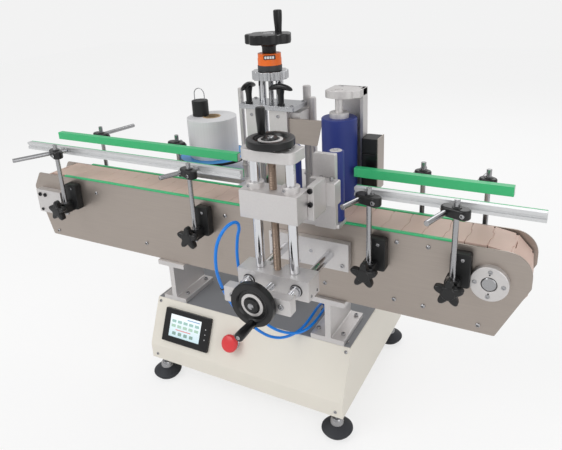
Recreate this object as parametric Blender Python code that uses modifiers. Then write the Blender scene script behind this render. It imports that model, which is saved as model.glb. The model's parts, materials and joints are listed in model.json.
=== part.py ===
"""Bottle labelling machine, a desktop wrap-around labeller on a slat-chain conveyor.

Units are metres, +Z is up, bottles travel along +X and the operator stands at -Y.
The model is laid out about the drive shaft (x = 0) and the middle of the chain (y = 0),
with the floor at z = 0. One root empty then centres the whole machine over the origin.
"""

import math

import bmesh
import bpy
from mathutils import Matrix, Vector

# Shared clearances
seat_gap = 0.0003        # between faces that touch
sink = 0.0010            # how far pieces of one body run into each other
slide_gap = 0.0004       # around a rod in its bore
screw_clearance = 0.0012  # around a turning screw in the part it passes through
overrun = 0.004          # how far a cutter runs past what it cuts

# Levels, from the floor up
foot_height = 0.059
cabinet_height = 0.144
support_height = 0.104
side_plate_height = 0.171
belt_proud = 0.002

deck_top = foot_height + cabinet_height
plate_bottom = deck_top + support_height
plate_top = plate_bottom + side_plate_height
belt_top = plate_top + belt_proud

# Conveyor
shaft_centres = 1.072
belt_radius = 0.0645
slat_width = 0.0826
slat_thickness = 0.0048
slat_pitch_gap = 0.0010
slat_count = 66
hinge_radius = 0.0040
hinge_drop = 0.0026      # hinge axis below the slats' underside
hinge_width = 0.042
hinge_sides = 4
tooth_shares = (0.15, 0.5, 0.85)
side_plate_thickness = 0.003
slat_to_plate = 0.0047

plate_inner = slat_width / 2 + slat_to_plate
plate_outer = plate_inner + side_plate_thickness
shaft_z = belt_top - belt_radius
idler_x = -shaft_centres

# Outline of the side plates
plate_nose = 0.070       # past the idler shaft
plate_nose_rise = 0.022
plate_nose_foot = 0.031
plate_nose_top = 0.044
plate_tail = 0.067       # past the drive shaft
plate_tail_rise = 0.020
plate_tail_foot = 0.015
plate_tail_top = 0.023
tail_arc_steps = 6
shaft_hole_radius = 0.016

# Slide strips, tie bars and their places along the conveyor, as shares of its length
strip_height = 0.0035
strip_lip = 0.006        # under the slats' edges
strip_start_share = 0.955
strip_end_share = 0.060
tie_radius = 0.008
upper_tie_drop = 0.027
lower_tie_radius = 0.007
lower_tie_rise = 0.031
upper_tie_shares = (0.860, 0.508, 0.156, 0.102)
lower_tie_shares = (0.970, 0.728, 0.293, 0.159, 0.106, 0.013)

# Shafts, bearings and drive
drive_shaft_radius = 0.0125
idler_shaft_radius = 0.010
sprocket_width = 0.008
sprocket_offset = 0.006
sprocket_notch = 0.0025
sprocket_teeth = 8
bearing_radius = 0.033
bearing_thickness = 0.012
tension_length = 0.086
tension_height = 0.062
tension_depth = 0.0197
tension_drop_share = 0.60
gearbox_left = 0.017     # from the drive shaft
gearbox_right = 0.030
gearbox_above = 0.0245
gearbox_below = 0.094
gearbox_corner = 0.014
gearbox_depth = 0.034
motor_radius = 0.026
motor_length = 0.173
motor_drop = 0.065
motor_cap = 0.014
motor_neck_share = 0.72
motor_end_share = 0.90

# Cabinet
cabinet_width = 0.503
cabinet_right = -0.2555
cabinet_front = -0.105
panel_run = 0.048
panel_drop = 0.105
cabinet_depth = 0.410
sheet = 0.002
deck_thickness = 0.003
inlet_width = 0.050
inlet_height = 0.030
inlet_depth = 0.018
inlet_wall = 0.003
inlet_rise = 0.045
inlet_side_share = 0.16

cabinet_left = cabinet_right - cabinet_width
cabinet_back = cabinet_front + cabinet_depth
panel_top_y = cabinet_front + panel_run
panel_angle = math.atan2(panel_drop, panel_run)

# Feet
foot_radius = 0.034
foot_edge = 0.005
foot_neck_radius = 0.012
foot_neck_height = 0.024
stud_radius = 0.006
foot_nut_radius = 0.010
foot_nut_height = 0.010
foot_steps = 10
foot_side_inset = 0.022
foot_front_inset = 0.022
foot_back_inset = 0.030

# Conveyor supports
support_width = 0.075
support_foot_width = 0.078
support_plate = 0.012
support_web = 0.013
support_shift = 0.012
support_depth = 0.114

# Screen and stop button on the sloping panel
screen_width = 0.131
screen_height = 0.079
screen_thickness = 0.007
display_width = 0.089
display_height = 0.053
display_depth = 0.0015
screen_left = 0.031      # from the cabinet's left side
screen_drop = 0.0575     # its middle, down the slope from the top fold
stop_left = 0.231
stop_drop = 0.0565
stop_radius = 0.020
stop_cap = 0.009
stop_stem_radius = 0.011
stop_lift = 0.014
stop_inside = 0.010
stop_dome = 0.003
stop_crown_share = 0.62
stop_crown_height_share = 0.7

# Side guides
post_radius = 0.005
post_reach = 0.080       # post axis from the middle of the chain
post_above = 0.005       # above the clamp
post_below = 0.008       # below the bracket's boss
rail_height = 0.022
rail_depth = 0.012
rail_groove = 0.003
rail_groove_share = 0.36
strip_depth = 0.003
lane_half = 0.036
rail_rise = 0.059        # underside of a rail above the chain
rod_post_shift = 0.0148
rod_sink = 0.0015
clamp_half_depth = 0.0115
clamp_half_height = 0.012
clamp_left = 0.026
clamp_right = 0.022
bracket_left = 0.009
bracket_width = 0.036
bracket_height = 0.066
bracket_depth = 0.019
bracket_drop = 0.076     # its underside below the plate's top
boss_half_width = 0.0125
boss_height = 0.024
boss_drop = 0.002        # below the bracket's underside
boss_front = 0.0135      # in front of the post axis
knob_radius = 0.026
knob_valley = 0.0165
knob_thickness = 0.015
knob_lobes = 5
knob_points = 15
knob_stem_radius = 0.008
knob_stem_length = 0.005

# A rail a row: its side, its ends and two posts as shares of the shaft centres, how its rods
# turn from straight across, and how far each rod runs out past its post
rail_layout_shares = {
    "front_left": (-1, 1.059, 0.464, (0.9325, 0.565), math.radians(27), (0.095, 0.060)),
    "front_right": (-1, 0.233, -0.072, (0.196, 0.054), math.radians(17), (0.058, 0.070)),
    "back_left": (1, 1.046, 0.522, (0.942, 0.709), math.radians(10), (0.117, 0.028)),
    "back_right": (1, 0.265, -0.016, (0.145, 0.031), math.radians(10), (0.040, 0.040)),
}

# Bottle press, in front of the chain
press_x = -0.3435
press_rod_radius = 0.008
press_rod_spacing = 0.095
press_rod_z_share = 0.634      # of the side plate's height
mount_width = 0.174
mount_height = 0.056
mount_thickness = 0.015
end_bar_width = 0.130
end_bar_height = 0.030
end_bar_thickness = 0.020
end_bar_front = 0.2170         # from the side plate's face
saddle_width = 0.143
saddle_depth = 0.045
saddle_height = 0.040
saddle_front = 0.161
saddle_rod_drop = 0.021        # rods below the saddle's top
saddle_notch_width = 0.034
saddle_notch_share = 1 / 3
saddle_notch_depth = 0.009
upright_spacing = 0.069
upright_length = 0.208
top_block_width = 0.103
top_block_depth = 0.050
top_block_height = 0.020
top_block_corner = 0.020
corner_steps = 4
slider_width = 0.112
slider_depth = 0.046
slider_height = 0.051
slider_rise = 0.103            # its underside above the saddle's top
collar_radius = 0.0155
collar_height = 0.011
lift_screw_radius = 0.007
reach_screw_radius = 0.0065
reach_screw_back = 0.059       # its inner end from the side plate's face
crank_length = 0.045
crank_nose_share = 0.8
crank_shoulder_share = 0.94
crank_waist_share = 0.98
crank_waist_height_share = 0.55
crank_foot_share = 0.06
crank_radius = 0.0075
crank_neck_radius = 0.0055
crank_orbit = 0.033
lift_crank_angle = math.radians(146)
wheel_radius = 0.041
wheel_rim = 0.012
wheel_thickness = 0.013
wheel_web = 0.005
wheel_hub_radius = 0.013
wheel_lift = 0.004
wheel_bevel = 0.003

# Press arm, cylinder, carrier and rollers
arm_thickness = 0.012
arm_length = 0.086
arm_height = 0.057
arm_front_inset = 0.004
arm_flange = 0.0115
arm_flange_reach = 0.026
arm_drop = 0.004               # its top below the slider's top
cylinder_width = 0.044
cylinder_shift_share = 0.25
cylinder_height = 0.044
cylinder_depth = 0.0265
cylinder_shift = 0.003
guide_pin_radius = 0.004
guide_pin_length = 0.0235
guide_pin_spacing = 0.026
carrier_width = 0.043
carrier_depth = 0.012
carrier_height = 0.145
carrier_gap = 0.003
carrier_below = 0.0045         # yoke's underside above the chain
yoke_thickness = 0.008
press_roller_radius = 0.015
press_roller_length = 0.136
press_roller_spacing = 0.087
press_roller_behind = 0.0165   # axis behind the carrier bar
roller_pin_radius = 0.005
roller_pin_above = 0.002

# Wrap roller and its bracket, behind the chain
wrap_x = -0.324
wrap_y = 0.060
wrap_radius = 0.036
wrap_length = 0.170
wrap_rise = 0.008
wrap_shaft_radius = 0.008
wrap_collar_radius = 0.0225
wrap_collar_height = 0.010
wrap_arm_gap = 0.029
wrap_arm_thickness = 0.015
wrap_lower_arm = 0.010
wrap_arm_half = 0.029
wrap_arm_front = 0.015
wrap_upright_y = 0.105
wrap_upright_thickness = 0.008
wrap_upright_right = 0.041
wrap_upright_drop = 0.105
wrap_flange = 0.007
wrap_flange_depth = 0.018
wrap_foot_height = 0.040
wrap_motor_width = 0.034
wrap_motor_depth = 0.040
wrap_motor_height = 0.112
wrap_motor_rise = 0.022
wrap_motor_bevel = 0.003

# Label head, behind the chain
head_x = -0.498
head_y = 0.095
head_post_radius = 0.008
head_post_spacing = 0.043
head_post_top = 0.244          # above the side plate's top
stand_width = 0.096
stand_depth = 0.050
stand_height = 0.180
stand_foot_width = 0.140
stand_foot_depth = 0.110
stand_front_share = 0.25
stand_foot_thickness = 0.010
flange_radius = 0.0425
flange_scallop = 0.0035
flange_lobes = 8
flange_points = 32
flange_thickness = 0.018
ring_radius = 0.0255
indicator_height = 0.036
indicator_bore = 0.009
head_hub_radius = 0.0155
head_hub_height = 0.020
head_wheel_radius = 0.053
head_wheel_scallop = 0.006
head_wheel_lobes = 7
head_wheel_points = 28
head_wheel_thickness = 0.020
head_screw_radius = 0.006
head_crank_orbit = 0.036
head_crank_angle = math.radians(80)

# Head carriage
top_plate_width = 0.134
top_plate_shift = 0.003
top_plate_depth = 0.070
top_plate_front = 0.060
top_plate_thickness = 0.010
top_plate_drop = 0.052         # its top below the posts' top
lower_plate_thickness = 0.012
lower_plate_drop = 0.026       # its underside below the side plate's top
lower_plate_front = 0.062
lower_plate_right = 0.093
lower_plate_left = 0.102
lower_arm_left = 0.262
lower_arm_front = 0.125
lower_plate_back = 0.250
column_front = 0.068
column_depth = 0.015
left_column_left = 0.052
left_column_width = 0.030
right_column_left = -0.006
right_column_width = 0.044
web_post_places = ((0.059, 0.150, 0.009, 0.226), (0.078, 0.136, 0.0065, 0.204), (-0.114, 0.150, 0.0065,
                                                                                 0.222))
peel_length = 0.080
peel_height = 0.055
peel_slant = 0.013
peel_sheet = 0.002
peel_y = 0.074
peel_top_drop = 0.018
peel_lip = 0.006
feed_x_shift = -0.007
feed_y = 0.146
feed_radius = 0.020
feed_length = 0.175
feed_spindle = 0.006
feed_spindle_length = 0.010
grip_half_length = 0.025
grip_radius = 0.0075
grip_stem_radius = 0.006
grip_stem_length = 0.028
grip_y = 0.073
left_grip_x = -0.043
right_grip_x = 0.036

# Label reel
reel_x = -0.715
reel_y = 0.170
tray_radius = 0.089
tray_thickness = 0.008
tray_rim = 0.004
tray_rise = 0.034              # its underside above the lower plate
spindle_radius = 0.012
spindle_above = 0.090
reel_radius = 0.062
reel_height = 0.098
reel_bore = 0.019
weight_width = 0.045
weight_depth = 0.030
weight_height = 0.040
weight_shift = -0.032
loop_radius = 0.015
loop_height = 0.030
loop_wire = 0.0011
loop_steps = 8

# Air hose
hose_radius = 0.003
hose_points = 60

round_steps = 16
small_steps = 8
clamp_arc_steps = 4
crank_steps = 12
wrap_nose_steps = 6
lobe_power = 3
route_steps = 16
wheel_steps = 16

FINISHES = {
    "cream": ((0.75, 0.71, 0.63), 0.45, 0.0),
    "dark_grey": ((0.07, 0.07, 0.075), 0.55, 0.0),
    "rubber": ((0.025, 0.026, 0.03), 0.7, 0.0),
    "black_plastic": ((0.018, 0.018, 0.02), 0.4, 0.0),
    "glass": ((0.35, 0.45, 0.55), 0.12, 0.0),
    "aluminium": ((0.62, 0.62, 0.62), 0.38, 0.9),
    "stainless": ((0.42, 0.38, 0.34), 0.32, 1.0),
    "chrome": ((0.7, 0.7, 0.7), 0.12, 1.0),
    "steel": ((0.5, 0.5, 0.5), 0.3, 1.0),
    "bronze": ((0.30, 0.22, 0.16), 0.4, 0.9),
    "chain": ((0.57, 0.42, 0.33), 0.5, 0.0),
    "green": ((0.06, 0.48, 0.22), 0.45, 0.0),
    "roller_blue": ((0.02, 0.035, 0.17), 0.6, 0.0),
    "tray_blue": ((0.08, 0.38, 0.68), 0.35, 0.0),
    "hose_blue": ((0.0, 0.18, 0.65), 0.3, 0.0),
    "red": ((0.75, 0.05, 0.06), 0.35, 0.0),
    "orange": ((0.86, 0.17, 0.02), 0.4, 0.0),
    "white": ((0.8, 0.8, 0.8), 0.5, 0.0),
}


# Scene, finishes and helpers

for old in list(bpy.data.objects):
    bpy.data.objects.remove(old, do_unlink=True)

machine = bpy.data.collections.new("bottle_labelling_machine")
cutters = bpy.data.collections.new("cutters")
bpy.context.scene.collection.children.link(machine)
bpy.context.scene.collection.children.link(cutters)
finishes = {}
places = {}


def finish(name):
    """The Principled material of that name."""
    if name not in finishes:
        colour, roughness, metallic = FINISHES[name]
        material = bpy.data.materials.new(name)
        material.use_nodes = True
        shader = material.node_tree.nodes["Principled BSDF"]
        shader.inputs["Base Color"].default_value = (*colour, 1.0)
        shader.inputs["Roughness"].default_value = roughness
        shader.inputs["Metallic"].default_value = metallic
        finishes[name] = material
    return finishes[name]


def pivot(name, at=(0.0, 0.0, 0.0), parent=None, turn=None):
    """An empty on a joint's axis; its children keep their places in the machine."""
    empty = bpy.data.objects.new(name, None)
    empty.empty_display_size = seat_gap
    machine.objects.link(empty)
    places[empty] = Matrix.Translation(at) @ (turn.to_4x4() if turn else Matrix())
    if parent:
        empty.parent = parent
        empty.matrix_local = places[parent].inverted() @ places[empty]
    else:
        empty.matrix_local = places[empty]
    return empty


def place(thing, parent, at, turn=None):
    """Set an object at a point of the machine, under its parent empty."""
    thing.parent = parent
    spot = Matrix.Translation(at) @ (turn.to_4x4() if turn else Matrix())
    thing.matrix_local = places[parent].inverted() @ spot


def from_bmesh(name, bm, look, parent, at, turn=None):
    mesh = bpy.data.meshes.new(name)
    bm.normal_update()
    bm.to_mesh(mesh)
    bm.free()
    thing = bpy.data.objects.new(name, mesh)
    machine.objects.link(thing)
    mesh.materials.append(finish(look))
    place(thing, parent, at, turn)
    return thing


def block(name, low, high, look, parent, bevel=0.0):
    """A box between two corners of the machine, its origin in its middle."""
    low, high = Vector(low), Vector(high)
    bm = bmesh.new()
    bmesh.ops.create_cube(bm, size=1.0)
    bmesh.ops.scale(bm, vec=high - low, verts=bm.verts)
    if bevel:
        bmesh.ops.bevel(bm, geom=bm.edges, offset=bevel, segments=1, affect="EDGES")
    return from_bmesh(name, bm, look, parent, (low + high) / 2)


TURNS = {"x": Matrix.Rotation(math.pi / 2, 3, "Y"), "y": Matrix.Rotation(-math.pi / 2, 3, "X"),
         "z": Matrix()}


def axis_turn(axis):
    """The turn that lays local Z along a named axis, or along a vector."""
    if isinstance(axis, str):
        return TURNS[axis].to_3x3()
    return Vector((0.0, 0.0, 1.0)).rotation_difference(Vector(axis)).to_matrix()


def rod(name, radius, start, axis, length, look, parent, sides=round_steps):
    """A round bar from a start point along an axis."""
    turn = axis_turn(axis)
    bm = bmesh.new()
    bmesh.ops.create_cone(bm, cap_ends=True, segments=sides, radius1=radius, radius2=radius, depth=length)
    middle = Vector(start) + turn @ Vector((0.0, 0.0, length / 2))
    thing = from_bmesh(name, bm, look, parent, middle, turn)
    smooth(thing)
    return thing


def smooth(thing):
    thing.data.shade_smooth()
    thing.data.set_sharp_from_angle(angle=math.radians(35))


def turned(name, profile, at, axis, look, parent, closed=False, steps=round_steps):
    """Turn a profile of (radius, height) points, listed down its outer side, about an axis."""
    mesh = bpy.data.meshes.new(name)
    count = len(profile)
    edges = [(i, i + 1) for i in range(count - 1)]
    if closed:
        edges.append((count - 1, 0))
    mesh.from_pydata([(radius, 0.0, height) for radius, height in profile], edges, [])
    thing = bpy.data.objects.new(name, mesh)
    machine.objects.link(thing)
    mesh.materials.append(finish(look))
    screw = thing.modifiers.new("turned", "SCREW")
    screw.steps = screw.render_steps = steps
    screw.use_merge_vertices = True
    screw.merge_threshold = 0.00001
    screw.use_smooth_shade = True
    place(thing, parent, at, axis_turn(axis))
    return thing


def flat(name, outline, low, height, look, parent, axis="z", bevel=0.0):
    """Extrude a flat outline: points (x, y) for axis z, (x, z) for axis y, (y, z) for axis x."""
    curve = bpy.data.curves.new(name, "CURVE")
    curve.dimensions = "2D"
    curve.fill_mode = "BOTH"
    curve.extrude = height / 2
    spline = curve.splines.new("POLY")
    spline.points.add(len(outline) - 1)
    for point, (across, along) in zip(spline.points, outline):
        point.co = (across, along, 0.0, 1.0)
    spline.use_cyclic_u = True
    drawn = bpy.data.objects.new(name + "_outline", curve)
    machine.objects.link(drawn)
    bpy.context.view_layer.update()
    mesh = bpy.data.meshes.new_from_object(drawn.evaluated_get(bpy.context.evaluated_depsgraph_get()))
    bpy.data.objects.remove(drawn)
    bm = bmesh.new()
    bm.from_mesh(mesh)
    bpy.data.meshes.remove(mesh)
    bmesh.ops.remove_doubles(bm, verts=bm.verts, dist=0.00001)
    bmesh.ops.recalc_face_normals(bm, faces=bm.faces)
    if bevel:
        rims = [e for e in bm.edges if len(e.link_faces) == 2 and e.calc_face_angle() > math.radians(60)
                and abs(e.verts[0].co.z - e.verts[1].co.z) < bevel]
        bmesh.ops.bevel(bm, geom=rims, offset=bevel, segments=1, affect="EDGES")
    if axis == "z":
        return from_bmesh(name, bm, look, parent, (0.0, 0.0, low + height / 2))
    if axis == "y":
        return from_bmesh(name, bm, look, parent, (0.0, low + height / 2, 0.0),
                          Matrix.Rotation(math.pi / 2, 3, "X"))
    across = Matrix(((0.0, 0.0, 1.0), (1.0, 0.0, 0.0), (0.0, 1.0, 0.0)))
    return from_bmesh(name, bm, look, parent, (low + height / 2, 0.0, 0.0), across)


def change(thing, operation, others):
    for other in others:
        step = thing.modifiers.new(other.name, "BOOLEAN")
        step.operation = operation
        step.solver = "EXACT"
        step.object = other
        for holder in list(other.users_collection):
            holder.objects.unlink(other)
        cutters.objects.link(other)
        other.hide_render = True
        other.display_type = "WIRE"
    return thing


def cut(thing, *others):
    return change(thing, "DIFFERENCE", others)


def fuse(thing, *others):
    return change(thing, "UNION", others)


root = pivot("machine_origin")


# Side plates, with their shaft holes

def side_plate_outline():
    points = [
        (idler_x - plate_nose_foot, plate_bottom),
        (plate_tail_foot, plate_bottom),
        (plate_tail, shaft_z),
    ]
    arc_wide = plate_tail - plate_tail_top
    arc_start = shaft_z + plate_tail_rise
    arc_high = plate_top - arc_start
    for step in range(tail_arc_steps + 1):
        angle = math.pi / 2 * step / tail_arc_steps
        points.append((plate_tail_top + arc_wide * math.cos(angle), arc_start + arc_high * math.sin(angle)))
    points.append((idler_x - plate_nose_top, plate_top))
    points.append((idler_x - plate_nose, shaft_z + plate_nose_rise))
    return points


def side_plate(name, side):
    low = plate_inner if side > 0 else -plate_outer
    plate = flat(name, side_plate_outline(), low, side_plate_thickness, "stainless", root, "y")
    for number, x in enumerate((0.0, idler_x)):
        hole = rod(f"{name}_hole_{number}", shaft_hole_radius, (x, low - overrun, shaft_z), "y",
                   side_plate_thickness + 2 * overrun, "stainless", root)
        cut(plate, hole)
    return plate


side_plates = {-1: side_plate("side_plate_front", -1), 1: side_plate("side_plate_back", 1)}


# Slat chain: flat slats joined by hinge barrels under their edges, once round the two shafts

hinge_path_radius = belt_radius - slat_thickness - hinge_drop
chain_arc = math.pi * hinge_path_radius
chain_pitch = 2 * (shaft_centres + chain_arc) / slat_count


def hinge_place(number):
    """Where a hinge's axis lies on its loop, top run first, as (x, z)."""
    distance = number * chain_pitch % (2 * (shaft_centres + chain_arc))
    if distance < shaft_centres:
        return Vector((idler_x + distance, 0.0, shaft_z + hinge_path_radius))
    if distance > shaft_centres + chain_arc and distance < 2 * shaft_centres + chain_arc:
        return Vector((shaft_centres + chain_arc - distance, 0.0, shaft_z - hinge_path_radius))
    middle, along = (0.0, distance - shaft_centres)
    if along > chain_arc:
        middle, along = (idler_x, along - shaft_centres)
    angle = along / hinge_path_radius
    return Vector((middle + hinge_path_radius * math.sin(angle), 0.0,
                   shaft_z + hinge_path_radius * math.cos(angle)))


def slat_frame(number):
    """Middle of a slat's underside between two hinges, its local X along the chain."""
    start, end = hinge_place(number), hinge_place(number + 1)
    along = end - start
    turn = Matrix.Rotation(math.atan2(-along.z, along.x), 4, "Y")
    return Matrix.Translation((start + end) / 2) @ turn @ Matrix.Translation((0.0, 0.0, hinge_drop))


def slat_chain():
    slat = bmesh.new()
    bmesh.ops.create_cube(slat, size=1.0)
    bmesh.ops.scale(slat, vec=(chain_pitch - slat_pitch_gap, slat_width, slat_thickness), verts=slat.verts)
    bmesh.ops.translate(slat, vec=(0.0, 0.0, slat_thickness / 2), verts=slat.verts)
    hinge = bmesh.new()
    lie_across = Matrix.Rotation(math.pi / 2, 4, "X") @ Matrix.Rotation(math.pi / hinge_sides, 4, "Z")
    bmesh.ops.create_cone(hinge, cap_ends=True, segments=hinge_sides, radius1=hinge_radius,
                          radius2=hinge_radius,
                          depth=hinge_width, matrix=lie_across)
    loops = []
    for name, shape in (("slat_chain", slat), ("chain_hinges", hinge)):
        pattern = bpy.data.meshes.new(name + "_pattern")
        shape.to_mesh(pattern)
        shape.free()
        loop = bmesh.new()
        for number in range(slat_count):
            spot = slat_frame(number) if name == "slat_chain" else Matrix.Translation(hinge_place(number))
            pattern.transform(spot)
            loop.from_mesh(pattern)
            pattern.transform(spot.inverted())
        bpy.data.meshes.remove(pattern)
        loops.append(from_bmesh(name, loop, "chain", root, (0.0, 0.0, 0.0)))
    fuse(*loops)


slat_chain()


# Slide strips clipped over the plates' edges, which carry the slats, and the tie bars

upper_tie_z = belt_top - upper_tie_drop


def slide_strip(name, side):
    """A cap on the plate's edge with a lip that runs in under the slats."""
    inner = slat_width / 2 + slat_pitch_gap
    lip_top = belt_top - slat_thickness - seat_gap
    outline = [
        (slat_width / 2 - strip_lip, lip_top - strip_height), (plate_inner - seat_gap,
                                                               lip_top - strip_height),
        (plate_inner - seat_gap, plate_top + seat_gap), (plate_outer + seat_gap, plate_top + seat_gap),
        (plate_outer + seat_gap, plate_top + seat_gap + strip_height),
        (inner, plate_top + seat_gap + strip_height), (inner, lip_top), (slat_width / 2 - strip_lip,
                                                                         lip_top),
    ]
    start, end = idler_x * strip_start_share, idler_x * strip_end_share
    flat(name, [(side * y, z) for y, z in outline], start, end - start, "green", root, "x")


def tie_bars():
    """Spacers between the two plates, fixed to the back one."""
    length = 2 * plate_inner - seat_gap + sink
    for shares, z, radius in ((upper_tie_shares, upper_tie_z, tie_radius),
                              (lower_tie_shares, plate_bottom + lower_tie_rise, lower_tie_radius)):
        for share in shares:
            bar = rod(f"tie_{share:.3f}", radius, (idler_x * share, plate_inner + sink - length, z), "y",
                      length,
                      "steel", root, small_steps)
            fuse(side_plates[1], bar)


slide_strip("slide_strip_front", -1)
slide_strip("slide_strip_back", 1)
tie_bars()


# Shafts with their sprockets

sprocket_radius = hinge_path_radius - hinge_radius - seat_gap


def sprocket_outline(x):
    points = []
    for tooth in range(sprocket_teeth):
        for step, depth in zip(tooth_shares, (0.0, sprocket_notch, 0.0)):
            angle = 2 * math.pi * (tooth + step) / sprocket_teeth
            radius = sprocket_radius - depth
            points.append((x + radius * math.cos(angle), shaft_z + radius * math.sin(angle)))
    return points


def shaft(name, x, radius, low, high, parent):
    bar = rod(name, radius, (x, low, shaft_z), "y", high - low, "steel", parent)
    for side in (-1, 1):
        start = side * sprocket_offset if side > 0 else -sprocket_offset - sprocket_width
        disc = flat(f"{name}_sprocket_{side}", sprocket_outline(x), start, sprocket_width, "steel", parent,
                    "y")
        fuse(bar, disc)


drive_pivot = pivot("drive_axis", (0.0, 0.0, shaft_z), root)
idler_pivot = pivot("idler_axis", (idler_x, 0.0, shaft_z), root)
bearing_out = plate_outer + seat_gap + bearing_thickness
gearbox_front = bearing_out + seat_gap
shaft("drive_shaft", 0.0, drive_shaft_radius, -bearing_out, gearbox_front + gearbox_depth - overrun,
      drive_pivot)
tension_out = plate_outer + seat_gap + tension_depth
shaft("idler_shaft", idler_x, idler_shaft_radius, -tension_out + overrun, tension_out - overrun, idler_pivot)


# Flange bearings at the drive end and tension blocks at the idler end, on the side plates

def end_bearings():
    tension_low = shaft_z - tension_height * tension_drop_share
    for side, plate in side_plates.items():
        start = plate_outer - sink if side > 0 else -bearing_out
        flange = rod(f"bearing_{side}", bearing_radius, (0.0, start, shaft_z), "y",
                     bearing_thickness + seat_gap + sink,
                     "aluminium", root)
        low, high = sorted((side * (plate_outer - sink), side * tension_out))
        body = block(f"tension_{side}", (idler_x - tension_length / 2, low, tension_low),
                     (idler_x + tension_length / 2, high, tension_low + tension_height), "aluminium", root)
        fuse(plate, flange, body)
        for x, radius in ((0.0, drive_shaft_radius), (idler_x, idler_shaft_radius)):
            bore = rod(f"shaft_bore_{side}_{radius}", radius + slide_gap,
                       (x, -overrun if side > 0 else -2 * tension_out,
                       shaft_z), "y", 2 * tension_out + overrun, "aluminium", root)
            cut(plate, bore)


def gear_motor():
    """A right-angle gearbox on the drive shaft, its motor lying along the conveyor."""
    left, right = -gearbox_left, gearbox_right
    top, low = shaft_z + gearbox_above, shaft_z - gearbox_below
    outline = [
        (left, low), (right - gearbox_corner, low), (right, low + gearbox_corner),
        (right, top - gearbox_corner),
        (right - gearbox_corner, top), (left, top),
    ]
    box = flat("gear_motor", outline, gearbox_front, gearbox_depth, "dark_grey", root, "y")
    neck = motor_radius * motor_neck_share
    profile = [
        (0.0, motor_length), (motor_radius * motor_end_share, motor_length),
        (motor_radius, motor_length - motor_cap),
        (motor_radius, motor_cap), (neck, motor_cap), (neck, -sink), (0.0, -sink),
    ]
    spot = (left, gearbox_front + gearbox_depth / 2, shaft_z - motor_drop)
    fuse(box, turned("motor", profile, spot, (-1.0, 0.0, 0.0), "dark_grey", root))
    cut(box, rod("gearbox_bore", drive_shaft_radius + slide_gap, (0.0, gearbox_front - overrun, shaft_z),
                 "y",
                 gearbox_depth + 2 * overrun, "dark_grey", root))


end_bearings()
gear_motor()


# Cabinet: a folded shell with a sloping panel, its deck and its feet

def cabinet_outline(wall, top):
    """The shell's section as (y, z), drawn in by a wall thickness and closed at a height."""
    slope_in = wall / math.sin(panel_angle)
    fold_z = deck_top - panel_drop
    fold_in = wall * (1 - math.cos(panel_angle)) / math.sin(panel_angle)
    top_y = panel_top_y + slope_in + (top - deck_top) * panel_run / panel_drop
    return [
        (cabinet_front + wall, foot_height + wall), (cabinet_back - wall, foot_height + wall),
        (cabinet_back - wall, top), (top_y, top), (cabinet_front + wall, fold_z - fold_in),
    ]


panel_turn = Matrix.Rotation(panel_angle, 3, "X")
panel_normal = panel_turn @ Vector((0.0, 0.0, 1.0))
panel_up = panel_turn @ Vector((0.0, 1.0, 0.0))


def on_panel(from_left, drop, lift=0.0):
    """A point of the sloping panel, from the cabinet's left side and down from the top fold."""
    return Vector((cabinet_left + from_left, panel_top_y, deck_top)) - panel_up * drop + panel_normal * lift


def cabinet():
    shell = flat("cabinet_shell", cabinet_outline(0.0, deck_top), cabinet_left, cabinet_width, "cream",
                 root, "x")
    inside = flat("cabinet_inside", cabinet_outline(sheet, deck_top + overrun), cabinet_left + sheet,
                  cabinet_width - 2 * sheet, "cream", root, "x")
    stop_hole = rod("stop_hole", stop_stem_radius + slide_gap, on_panel(stop_left, stop_drop, -stop_inside),
                    panel_normal, 2 * stop_inside, "cream", root)
    inlet_x = cabinet_left + cabinet_width * inlet_side_share
    inlet_z = foot_height + inlet_rise
    wall = block("inlet_wall", (inlet_x - inlet_wall, cabinet_back - inlet_depth - inlet_wall,
                                inlet_z - inlet_wall),
                 (inlet_x + inlet_width + inlet_wall, cabinet_back - sheet / 2,
                  inlet_z + inlet_height + inlet_wall),
                 "cream", root)
    recess = block("inlet_recess", (inlet_x, cabinet_back - inlet_depth, inlet_z),
                   (inlet_x + inlet_width, cabinet_back + overrun, inlet_z + inlet_height), "cream", root)
    cut(shell, inside)
    fuse(shell, wall)
    cut(shell, recess, stop_hole)
    levelling_feet(shell)
    clear = sheet + seat_gap
    slope_in = clear / math.sin(panel_angle)
    block("cabinet_deck", (cabinet_left + clear, panel_top_y + slope_in, deck_top - deck_thickness),
          (cabinet_left + cabinet_width - clear, cabinet_back - clear, deck_top), "dark_grey", root)


def levelling_feet(shell):
    """Four feet, each a rubber pad on a threaded stud with a nut under the cabinet's floor."""
    top = foot_height + sink
    profile = [
        (0.0, top), (foot_nut_radius, top), (foot_nut_radius, top - foot_nut_height),
        (stud_radius, top - foot_nut_height), (stud_radius, foot_neck_height), (foot_neck_radius,
                                                                                foot_neck_height),
        (foot_radius - foot_edge, foot_edge * 2), (foot_radius, foot_edge), (foot_radius, 0.0), (0.0, 0.0),
    ]
    for x in (cabinet_left + foot_side_inset, cabinet_right - foot_side_inset):
        for y in (cabinet_front + foot_front_inset, cabinet_back - foot_back_inset):
            fuse(shell, turned(f"foot_{x:.3f}_{y:.3f}", profile, (x, y, 0.0), "z", "rubber", root,
                               steps=foot_steps))


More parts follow.
